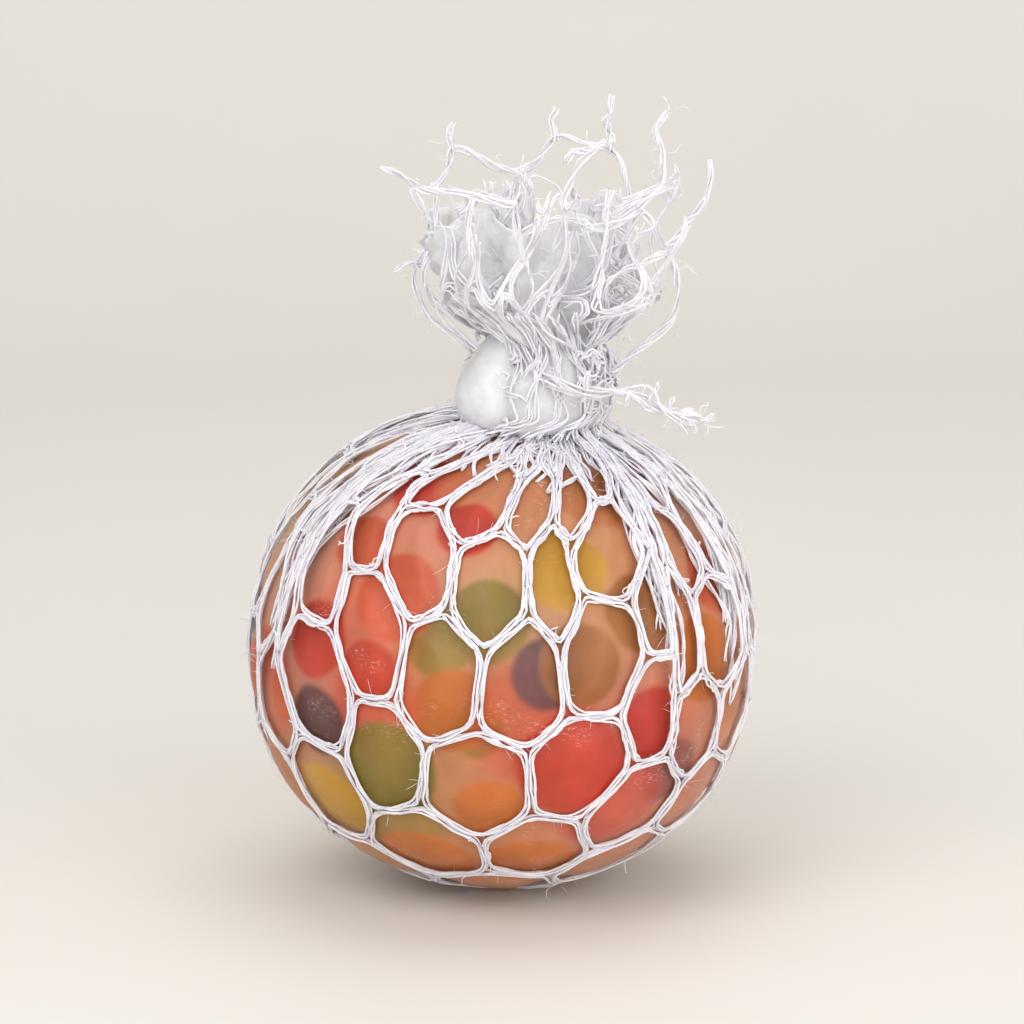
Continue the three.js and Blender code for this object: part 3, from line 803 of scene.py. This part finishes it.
def net_tuft():
    """The procedural part of the tuft: cells whose upper edge is cut off ragged."""
    yarn = Yarn()
    rise = CELL * math.sqrt(3) / 2
    width = TUFT_CELLS * CELL
    for row in range(TUFT_ROWS):
        for column in range(TUFT_CELLS):
            centre = np.array([(column + row % 2 / 2) * CELL, TUFT_FROM + 3 + row * rise])
            flat = hexagon_line(centre, 0.0)
            for inset in TUFT_INSETS:
                line = flat + (centre - flat) * inset / (CELL / 2)
                line = loop_smoothed(line, 4)
                along = np.mod(line[:, 0] / width, 1)
                keep = (line[:, 1] < tuft_cut(along) + rng.uniform(-1, 2.5)) & (line[:, 1] > TUFT_FROM - 2)
                height = line[:, 1] + wander(len(line), 0.3, (2, 5, 7), True)
                along = along + wander(len(line), 0.3, (2, 5, 9), True) / width
                place = tuft_point(along, height)
                thick = FILAMENT * (1 + wander(len(line), 0.12, (3, 7), True))
                for run in runs(keep):
                    if len(run) == len(line):
                        yarn.add(place, thick, closed=True)
                    elif len(run) > 5:
                        yarn.add(place[run], thick[run])
    return yarn


# The strands that stand out at the tuft's edge, each with how far back it lies (-1 front, 1 back),
# its plies, and its (across, height) points over the neck
EDGE_STRANDS = [
    (0.5, 4, [(-20.5, 33.5), (-17, 31.5), (-14, 31), (-12, 34), (-11.5, 36), (-9, 35.5), (-6.5, 34),
              (-3.5, 33.5), (-1, 34.5), (1.5, 37.5), (4.5, 37), (8.5, 36), (10, 33), (11.5, 27.5)]),
    (0.5, 3, [(-11.5, 35.5), (-12, 37.5), (-11.5, 39.5)]),
    (0.5, 3, [(1.5, 37), (1, 39.5), (1.5, 41.5)]),
    (0.5, 5, [(8.5, 35.5), (8, 40), (8.5, 43)]),
    (0.4, 3, [(-3.5, 33.5), (-2, 31.5), (-1.5, 28), (-2, 24)]),
    (-0.3, 3, [(7.5, 36), (5.5, 34.5), (3.5, 32), (2.5, 29.5), (2.5, 27), (1, 22)]),
    (-0.3, 4, [(6, 35), (3.5, 34.5), (2.5, 33)]),
    (-0.5, 4, [(11.5, 27), (13.5, 29.5), (14.5, 31.5), (14.5, 34.5), (13.5, 37), (15, 39.5)]),
    (-0.5, 5, [(11.5, 27.5), (9.5, 26), (7, 25), (1.5, 26), (-3, 24)]),
    (-0.2, 5, [(11.5, 27.5), (13.5, 26), (15, 23), (18, 26), (19.5, 28), (20.5, 31), (20.5, 34)]),
    (-0.2, 4, [(15, 23), (16, 20.5), (16.5, 17.5), (16, 14), (13.5, 11.5), (9.5, 8), (7.5, 6.5)]),
    (-0.6, 4, [(15, 22), (12, 20.5), (9.5, 19.5), (7.5, 17.5), (7.5, 14.5), (6, 11)]),
    (-0.6, 3, [(8, 29.5), (7.5, 26), (7, 21), (5.5, 15)]),
    (0.2, 4, [(-17, 30.5), (-15, 27.5), (-14.5, 24), (-15.5, 21.5), (-16.5, 19.5), (-16, 17),
              (-14.5, 14.5), (-12, 12.5), (-9, 10)]),
    (-0.2, 4, [(-14, 31), (-13.5, 28), (-13.5, 24), (-15, 20), (-14, 16), (-10.5, 12), (-6, 9)]),
    (0.2, 3, [(-19, 20), (-17, 21), (-15.5, 21)]),
    (-0.4, 4, [(-16.5, 30), (-11.5, 29.5), (-9, 29), (-5, 28), (-3.5, 28)]),
    (-0.7, 4, [(-3.5, 28), (-3.5, 24), (-2, 19.5), (-1.5, 14.5), (-1, 9)]),
    (-0.6, 4, [(-9, 28.5), (-9.5, 24), (-8, 19), (-6, 14), (-4, 9)]),
    (0.6, 4, [(14.5, 31), (12, 29), (10, 22), (8, 14), (6, 9)]),
]
EDGE_SPREAD = 0.36


def edge_strand(depth, points):
    """The line of one of EDGE_STRANDS, as the photograph's raised camera sees it."""
    points = curve_through(np.array(points, float), 0.8)
    across, height = points.T
    radius = np.maximum(crown_radius(height) + 3, np.abs(across) + 0.5)
    back = depth * np.sqrt(np.maximum(radius**2 - across**2, 0))
    upward = height - back * math.tan(CAMERA_ELEVATION)
    return over_neck(np.stack([across, back, upward], -1))


def add_edge_strands(yarn):
    for depth, plies, points in EDGE_STRANDS:
        strand(yarn, edge_strand(depth, points), plies, EDGE_SPREAD)


def add_fuzz(yarn, sources, count, length, outward):
    """Stray fibres off a strand's surface."""
    for k in rng.integers(0, len(sources), count):
        away = outward(sources[k]) + rng.normal(0, 0.6, 3)
        curl(yarn, sources[k], away, rng.uniform(*length), rng.uniform(0.035, 0.07))


def crumple(points, per_mm, size):
    """A creased displacement: noise folded over at zero."""
    return size * np.array([abs(noise.noise(Vector(p) * per_mm)) for p in points])


def skin_collar():
    """The skin swollen out over its tie in soft folds that run together at the neck."""
    outline = curve_through(COLLAR_PROFILE, 0.45)
    sides = 160
    phi = TURN * np.arange(sides) / sides
    share = np.linspace(0, 1, len(outline))[:, None]
    fold = np.sin(np.pi * share) ** 0.7
    wave = -0.06 * np.exp(-(((off_bare(phi) - degrees(38) + 0.2 * share) / 0.1) ** 2))
    wave = wave + 0.012 * np.cos(5 * phi + 1.2) + 0.012 * np.cos(9 * phi - 5 * share + 0.4)
    radius = outline[:, :1] * (1 + fold * wave) * collar_share(phi)
    radius = np.maximum(radius, 4.0)
    height = outline[:, 1:] + 0.2 * fold * np.sin(5 * phi + 1) + 0 * phi
    points = np.stack([radius * np.cos(phi), radius * np.sin(phi), height], -1).reshape(-1, 3)
    points += points * [[1, 1, 0]] / 11 * crumple(points, 0.14, 0.5)[:, None]
    count = len(outline)
    faces = grid_faces(count, sides)
    faces.append(list(reversed(range(sides))))
    faces.append(list(range((count - 1) * sides, count * sides)))
    return mesh_object("collar_of_skin", over_neck(points), faces)


TAIL_FROM = 8.5
TAIL_HEIGHT = 18.5
TAIL_WALL = 0.22
TAIL_DRIFT = 4.2  # how far the film leans to the left


def skin_tail():
    """The end of the neck: a thin film, folded and crumpled, with an uneven rolled edge."""
    sides, rings = 150, 46
    u = np.arange(sides)[None] / sides
    v = np.linspace(0, 1, rings)[:, None]
    phi = TURN * u
    wide = smooth(1.25 * v)
    layers = []
    for wall in (0, TAIL_WALL):
        flute = 1 + 0.16 * wide * np.cos(6 * phi + 3 * v) + 0.13 * wide * np.sin(10 * phi - 4 * v + 1)
        roll = 0.9 * smooth((v - 0.93) / 0.07)
        across = -TAIL_DRIFT * wide + (5.4 + 4.4 * wide - wall + roll * (1 - 2 * wall)) * np.cos(phi) * flute
        through = (4.6 + 1.6 * wide - wall + roll) * np.sin(phi) * flute
        ragged = v**2 * (1.5 * np.sin(3 * phi + 1) + 1.0 * np.sin(5 * phi))
        height = TAIL_FROM + TAIL_HEIGHT * v + ragged - 0.6 * roll
        layers.append(np.stack([across, through, height], -1).reshape(-1, 3))
    push = crumple(layers[0], 0.33, 2.2) + crumple(layers[0], 0.8, 0.7)
    out = layers[0] * [[1, 1, 0]] - [[-TAIL_DRIFT, 0, 0]]
    inward = -unit(out) * push[:, None] * np.repeat(wide, sides, 0).reshape(-1, 1)
    layers = [layer + inward for layer in layers]
    count = rings * sides
    faces = grid_faces(rings, sides)
    faces += [list(reversed(f)) for f in grid_faces(rings, sides, count)]
    for c in range(sides):
        d = (c + 1) % sides
        low, high = 0, (rings - 1) * sides
        faces.append([low + d, low + c, count + low + c, count + low + d])
        faces.append([high + c, high + d, count + high + d, count + high + c])
    return mesh_object("tail_of_skin", over_neck(np.vstack(layers)), faces)


CORNER_ROUTE = [(-1, -8.5, 8.2), (3, -11.2, 7.0), (6, -12.2, 6.5), (8.8, -11.8, 6.7), (12, -10.2, 5.6),
                (15, -8.8, 3.6), (18, -7.6, 2.6), (20, -6.8, 2.0)]
CORNER_PLIES = 11
# Knots in it, by the share of its length and how far they swell it
CORNER_KNOTS = [(0.62, 0.55), (0.92, 0.8)]
# Cut ends that stick out of it: (share of its length, direction, length)
CORNER_STUBS = [
    (0.3, (0.1, -0.3, 1), 3.0),
    (0.66, (0.5, 0, 1), 2.6),
    (0.8, (0.2, -0.4, 1), 2.4),
    (0.9, (0.6, -0.3, -1), 2.2),
    (0.97, (1, -0.2, 0.4), 2.2),
    (0.5, (0.2, -0.4, -1), 1.8),
]


def net_corner():
    """The sheet's corner, bunched into a rope with knots, stubs and a fibre at its tip."""
    yarn = Yarn()
    route = curve_through(CORNER_ROUTE, 0.5)
    side, over = frames(route, False)
    t = np.linspace(0, 1, len(route))
    swell = 0.85 - 0.3 * t
    for share, size in CORNER_KNOTS:
        swell = swell + size * np.exp(-(((t - share) / 0.06) ** 2))
    for k in range(CORNER_PLIES):
        turn = TURN * (k / CORNER_PLIES + rng.uniform(0.6, 1.6) * t) + wander(len(t), 0.5)
        away = (swell * rng.uniform(0.35, 1.0) * (1 + wander(len(t), 0.25)))[:, None]
        path = route + away * laid(side, over, turn)
        first, last = rng.integers(0, 5), len(t) - rng.integers(0, 4)
        yarn.add(over_neck(path[first:last]), FILAMENT)
    for share, direction, length in CORNER_STUBS:
        start = over_neck(route[int(share * (len(route) - 1))])
        end = length * unit(np.array(direction))
        bend = rng.normal(0, 0.3, 3)
        strand(yarn, curve_through([start, start + end * 0.5 + bend, start + end], 0.4), 3, 0.2)
    tip = over_neck(route[-1])
    fibre = curve_through([tip - [1, 0, 0], tip + [0.8, 0.1, -0.6], tip + [2.4, 0.3, -0.7]], 0.4)
    yarn.add(fibre, 0.07, ends=0.3)
    add_fuzz(yarn, over_neck(route), 40, (1.5, 4), lambda p: rng.normal(0, 1, 3))
    return yarn


def neck_tie():
    """Two plies of thread twisted together and wound round the neck."""
    yarn = Yarn(8)
    turns, pitch, first = 2, 0.75, 1.65
    ply_radius, ply_offset, twist = 0.18, 0.17, 60
    radius = (TIE_HIGH - TIE_LOW)[0] / 2 - ply_offset - ply_radius
    t = np.linspace(0, 1, 150)
    turn = TURN * turns * t
    centre = np.stack([radius * np.cos(turn), radius * np.sin(turn), first + pitch * turns * t], -1)
    out = np.stack([np.cos(turn), np.sin(turn), 0 * turn], -1)
    for ply in (0, math.pi):
        away = laid(out, np.array([0, 0, 1]), twist * t + ply)
        yarn.add(over_neck(centre + ply_offset * away), ply_radius)
    return yarn


# --- The scene ---


def aimed(name, data, place, target):
    """A camera or a lamp at one place, turned towards another, both in metres."""
    obj = bpy.data.objects.new(name, data)
    obj.location = place
    obj.rotation_euler = (Vector(target) - Vector(place)).to_track_quat("-Z", "Y").to_euler()
    bpy.context.scene.collection.objects.link(obj)
    return obj


def camera():
    away = np.array([0, -math.cos(CAMERA_ELEVATION), math.sin(CAMERA_ELEVATION)])
    place = CAMERA_TARGET + CAMERA_DISTANCE * away
    data = bpy.data.cameras.new("camera")
    data.lens = CAMERA_LENS
    bpy.context.scene.camera = aimed("camera", data, place / 1000, CAMERA_TARGET / 1000)


def area_light(name, place, size, power):
    """A soft round lamp that points at the object's middle."""
    data = bpy.data.lights.new(name, "AREA")
    data.shape = "DISK"
    data.size = size
    data.energy = power
    aimed(name, data, place, (0, 0, 0.045))


def studio():
    area_light("key", (-0.35, -0.55, 0.6), 0.6, 2.6)
    area_light("fill", (0.5, -0.5, 0.25), 0.6, 2.0)
    area_light("top", (0.05, 0.15, 0.8), 0.7, 2.0)
    area_light("low", (0.05, -0.7, 0.16), 0.8, 2.2)
    world = bpy.data.worlds.new("world")
    world.use_nodes = True
    background = world.node_tree.nodes["Background"]
    background.inputs["Color"].default_value = (0.9, 0.89, 0.88, 1)
    background.inputs["Strength"].default_value = 0.7
    bpy.context.scene.world = world
    bpy.context.scene.view_settings.view_transform = "Standard"


def floor():
    """A pale sweep: flat under the ball, then curving up well behind it."""
    half_width, flat, curve, steps = 2500, 400, 300, 12
    profile = [(-half_width, 0), (flat, 0)]
    for k in range(1, steps + 1):
        a = math.pi / 2 * k / steps
        profile.append((flat + curve * math.sin(a), curve * (1 - math.cos(a))))
    profile.append((flat + curve, 1800))
    points = [(x, y, z) for x in (-half_width, half_width) for y, z in profile]
    count = len(profile)
    faces = [[k, k + count, k + count + 1, k + 1] for k in range(count - 1)]
    obj = mesh_object("floor", points, faces)
    look = Look("floor", linear(219, 215, 209), 0.6)
    look.cloud(look.noise(6, 3), (0.3, linear(217, 213, 207)), (0.7, linear(221, 217, 211)))
    obj.data.materials.append(look.material)


def place_piece(obj, look, body, slot, *nodes):
    """Gives a piece its material and its body, and hides the CAD nodes that it stands for. slot is not used.
    """
    obj.data.materials.append(look)
    if body:
        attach(obj, body)
    if nodes:
        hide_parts(*nodes)


def squashed(obj):
    """Gives the piece a mesh of its own."""
    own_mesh(obj)


# --- The skin and its filling ---

SKIN_ROUND = 420
SKIN_UP = 220
WINDOW = 0.97  # radius of a pressed bead's clear window, as a share of the bead's
WINDOW_EDGE = 0.7  # over which the window fades
SUNKEN_REACH = 14.0  # depth over which beads behind the front ones fade from view
GLOW = 0.7  # how much of a bead's colour spreads into the haze round it
GLOW_REACH = 1.45  # and how far, in bead radii
CLEAR = 0.58  # how opaque the skin is over a pressed bead
CLOUDY = 0.97  # and elsewhere
NECK_SKIN_AND_PAINTED_LIGHT = linear(226, 196, 184)  # the skin's paler colour where it is drawn together at the neck, partly painted light that lifts the shade between the strands there
NECK_SHUT = 0.92  # the radius to which the neck's rim is drawn in, as a share of the rim's
NECK_RISE = 1.5  # and how far it rises there, into the foot of the collar


def beads():
    """(node, colour, centre, radius) of each bead, from the frame."""
    for node in sorted(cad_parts):
        if node.startswith("gel_bead_"):
            low, high = cad_box(node)
            yield node, node.split("_")[2], (low + high) / 2, (high - low).max() / 2


# Small beads that the finished model adds, squeezed in where there is no room for round solids:
# (colour, degrees round from the front, angle up the ball, radius, how far they are sunk)
SQUEEZED_IN = [
    ("plum", 9.5, 101, 3.7, 1.4),
    ("olive", -4.5, 85, 2.8, 1.2),
    ("olive", -16, 106, 3.6, 1.6),
    ("plum", 10, 78, 2.8, 2.2),
]


def squeezed_in():
    """The beads of SQUEEZED_IN, told as beads() tells them."""
    for number, (colour, azimuth, level, radius, sunk) in enumerate(SQUEEZED_IN, 1):
        inset = SKIN_INSET + SKIN_WALL + radius + sunk
        centre = ball_point(degrees(level), from_front(azimuth), inset)
        yield f"bead_squeezed_in_{number:02d}", colour, centre, radius


def ball_grid(up, around, last):
    """The angles of a grid of places on the ball, in rows from just above its foot up to last."""
    theta = np.linspace(0, 1, up + 1)[1:, None] * last
    phi = np.linspace(0, TURN, around, endpoint=False)[None]
    return np.broadcast_arrays(theta, phi)


def grid_faces(rows, columns, start=0):
    """The faces of a grid of points that is closed round."""
    faces = []
    for r in range(rows - 1):
        for c in range(columns):
            a, b = start + r * columns + c, start + r * columns + (c + 1) % columns
            faces.append([a, b, b + columns, a + columns])
    return faces


def skin(net_points, filling):
    """The skin bulges out of each cell of the net, is flat where it stands, and shows the beads
    through it, sharply where they press on it and as a haze between them."""
    strands = kdtree.KDTree(len(net_points))
    for k, point in enumerate(net_points):
        strands.insert(point, k)
    strands.balance()
    theta, phi = ball_grid(SKIN_UP, SKIN_ROUND, NECK_ANGLE)
    flat = ball_point(theta, phi, SKIN_INSET).reshape(-1, 3)
    away = np.array([strands.find(p)[2] for p in flat])
    bulge = SKIN_BULGE * smooth((away - 0.4) / 4.0)
    flat = ball_point(theta.ravel(), phi.ravel(), SKIN_INSET - bulge)
    foot = np.hypot(flat[:, 0], flat[:, 1])
    settle = 1 - smooth((foot - FOOT_RADIUS) / 4)
    flat[:, 2] *= 1 - settle
    flat[:, 2] = np.maximum(flat[:, 2], 0)
    return flat, seen_through(flat, filling)


def seen_through(points, filling):
    """For each point of the skin, the colour behind it and how cloudy it is there."""
    out = ball_outward(points)
    haze = np.tile(np.array(HAZE), (len(points), 1))
    weight = np.ones(len(points))
    layers = []
    for _, colour, centre, radius in filling:
        to = points - centre
        depth = np.einsum("ij,ij->i", to, out)
        across = np.sqrt(np.maximum(np.einsum("ij,ij->i", to, to) - depth**2, 0))
        sunk = np.maximum(depth - radius - 1.5, 0)
        front = depth > 0
        glow = GLOW * front * np.exp(-((across / (GLOW_REACH * radius)) ** 2) - (sunk / SUNKEN_REACH) ** 2)
        haze += glow[:, None] * np.array(GEL[colour])
        weight += glow
        edge = WINDOW_EDGE * (1 + 0.12 * sunk)
        disc = front * (1 - smooth((across - WINDOW * radius) / edge + 0.5))
        strength = 0.85 * np.exp(-((sunk / SUNKEN_REACH) ** 2))
        nearest = np.argmin(np.where(front, across, np.inf))
        layers.append((sunk[nearest], disc * strength, disc * (1 - smooth(sunk / 2)), GEL[colour]))
    painted = haze / weight[:, None]
    clear = np.zeros(len(points))
    for _, strength, pressed, colour in sorted(layers, key=lambda layer: -layer[0]):
        painted += (np.array(colour) - painted) * strength[:, None]
        clear = np.maximum(clear * (1 - strength), pressed)
    # Near the neck the skin is painted paler: partly its own gathered colour, partly painted light in the
    # shade between the neck's strands.
    drawn = smooth((14 - np.linalg.norm(points - NECK, axis=1)) / 9)[:, None]
    painted += (np.array(NECK_SKIN_AND_PAINTED_LIGHT) - painted) * drawn
    return np.column_stack([painted, CLOUDY + (CLEAR - CLOUDY) * clear * (1 - drawn[:, 0])])


def add_skin(net_points, filling):
    outer, colours = skin(net_points, filling)
    count = len(outer)
    faces = grid_faces(SKIN_UP, SKIN_ROUND)
    points = list(outer)
    points.append(np.array([0, 0, 0]))
    faces += [[count, (c + 1) % SKIN_ROUND, c] for c in range(SKIN_ROUND)]
    # the neck is drawn shut just under its tie
    rim = np.arange(count - SKIN_ROUND, count)
    middle = outer[rim].mean(0)
    start = len(points)
    points += list(middle + NECK_SHUT * (outer[rim] - middle) + [0, 0, NECK_RISE])
    points.append(middle)
    for c in range(SKIN_ROUND):
        d = (c + 1) % SKIN_ROUND
        faces.append([rim[c], rim[d], start + d, start + c])
        faces.append([start + c, start + d, len(points) - 1])
    faces = [[int(i) for i in face] for face in faces]
    obj = mesh_object("skin_wall", np.array(points), faces)
    attribute = obj.data.color_attributes.new("seen_through", "FLOAT_COLOR", "POINT")
    values = np.ones((len(points), 4))
    values[:count] = colours
    values[count] = colours[0]
    values[start:] = (*MILK, CLOUDY)
    attribute.data.foreach_set("color", values.ravel())
    place_piece(obj, skin_look(), "ball", "clear_skin", "skin")
    squashed(obj)


def filling_liquid():
    """The water between the beads, as a cloudy mass just under the skin."""
    rows, columns, depth = 59, 120, 3.9
    theta, phi = ball_grid(rows, columns, degrees(172) * rows / (rows + 1))
    wavy = depth + 0.5 * np.sin(5 * phi) * np.sin(7 * theta)
    points = ball_point(theta, phi, wavy).reshape(-1, 3)
    faces = grid_faces(rows, columns)
    bottom, top = len(points), len(points) + 1
    points = np.vstack([points, ball_point([0, math.pi], 0, depth)])
    last = (rows - 1) * columns
    faces += [[bottom, (c + 1) % columns, c] for c in range(columns)]
    faces += [[top, last + c, last + (c + 1) % columns] for c in range(columns)]
    obj = mesh_object("filling_liquid", points, faces)
    place_piece(obj, liquid_look(), "ball", "gel_tan")
    squashed(obj)


BEAD_SWELL = 1.12


def icosphere():
    """The points and faces of a ball of radius 1."""
    mesh = bpy.data.meshes.new("unit_bead")
    shape = bmesh.new()
    bmesh.ops.create_icosphere(shape, subdivisions=4, radius=1.0)
    shape.to_mesh(mesh)
    shape.free()
    points = np.array([v.co for v in mesh.vertices])
    faces = [list(p.vertices) for p in mesh.polygons]
    bpy.data.meshes.remove(mesh)
    return points, faces


def add_beads(filling):
    """Each bead is swollen until it presses flat against the skin and its neighbours."""
    looks = {colour: gel_look(colour) for colour in GEL}
    sphere, faces = icosphere()
    inside = SKIN_INSET + SKIN_WALL + 0.1
    reach = np.array([BALL_RADIUS - inside, BALL_RADIUS - inside, BALL_HALF_HEIGHT - inside])
    middle = np.array([0, 0, BALL_HALF_HEIGHT])
    for node, colour, centre, radius in filling:
        points = centre + sphere * radius * BEAD_SWELL
        for other, _, place, size in filling:
            apart = place - centre
            distance = np.linalg.norm(apart)
            if other == node or distance > (radius + size) * BEAD_SWELL:
                continue
            along = apart / distance
            face = distance * radius / (radius + size) - 0.05
            beyond = (points - centre) @ along - face
            points = points - np.maximum(beyond, 0)[:, None] * along
        share = np.linalg.norm((points - middle) / reach, axis=1)
        pressed = middle + (points - middle) / np.maximum(share, 1)[:, None]
        obj = mesh_object(node.replace("gel_bead", "bead"), pressed, faces)
        stood_for = [node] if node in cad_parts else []
        place_piece(obj, looks[colour], "ball", f"gel_{colour}", *stood_for)
        squashed(obj)


BLEND_FROM = NECK + [0, 0, 9.0]
BLEND_TO = NECK + [0, 0, 15.0]


def blended(obj, look, slot, node, start=BLEND_FROM, end=BLEND_TO):
    """A piece over the neck, with no body and its transform baked into its mesh. start and end are not used.
    """
    place_piece(obj, look, None, slot, node)
    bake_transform(obj)


def add_crown(yarn_material):
    """The pieces over the neck. The loose ones of the net are returned."""
    collar = skin_collar()
    # One skin, painted darker on the collar where the lamps fall full on it (painted shade) and lighter on
    # the film that the strands shade (painted light).
    place_piece(collar, milky_look("milky_collar", 0.8, 212), "crown", "milky_skin", "skin_collar")
    blended(skin_tail(), milky_look("milky_film", 0.8, 241), "milky_skin", "skin_tail")
    throat = net_throat().object("net_over_collar")
    blended(throat, yarn_material, "net_yarn", "net_throat")
    yarn = net_tuft()
    add_edge_strands(yarn)
    points = np.concatenate(yarn.points)
    add_fuzz(yarn, points, 260, (1.5, 6), lambda p: (p - NECK) * [1, 1, 0.3])
    tuft = yarn.object("net_tuft_free")
    blended(tuft, yarn_material, "net_yarn", "net_tuft")
    corner = net_corner().object("net_corner_bunch")
    pivot = NECK + CORNER_ROUTE[3]
    start, end = pivot - [3, 0, 0], pivot + [2, 0, 0]
    blended(corner, yarn_material, "net_yarn", "net_corner", start, end)
    tie = neck_tie().object("tie_thread")
    place_piece(tie, tie_look(), "crown", "tie_thread", "neck_tie")
    return [throat, tuft, corner]


def tie_look():
    look = Look("tie_thread", linear(240, 238, 240), 0.7, sheen=(0.2, 0.5))
    look.cloud(look.noise(900, 3), (0.3, linear(226, 222, 228)), (0.7, linear(246, 244, 246)))
    look.bump((look.noise(7000, 3, 0.6), 0.05))
    return look.material


camera()
studio()
floor()
filling = [*beads(), *squeezed_in()]
net = net_on_ball()
net_points = np.concatenate(net.points)
add_pleats(net)
add_knots(net, net_points)
add_fuzz(net, net_points, 120, (0.8, 2.2), off_middle)
add_hairs(net, net_points, HAIRS)
add_hairs(net, gathered_points(net), HAIRS)
net_object = net.object("net_on_ball")
yarn_material = yarn_look()
place_piece(net_object, yarn_material, "ball", "net_yarn", "net_bag")
squashed(net_object)
add_skin(net_points[::3], filling)
filling_liquid()
add_beads(filling)
loose = add_crown(yarn_material)
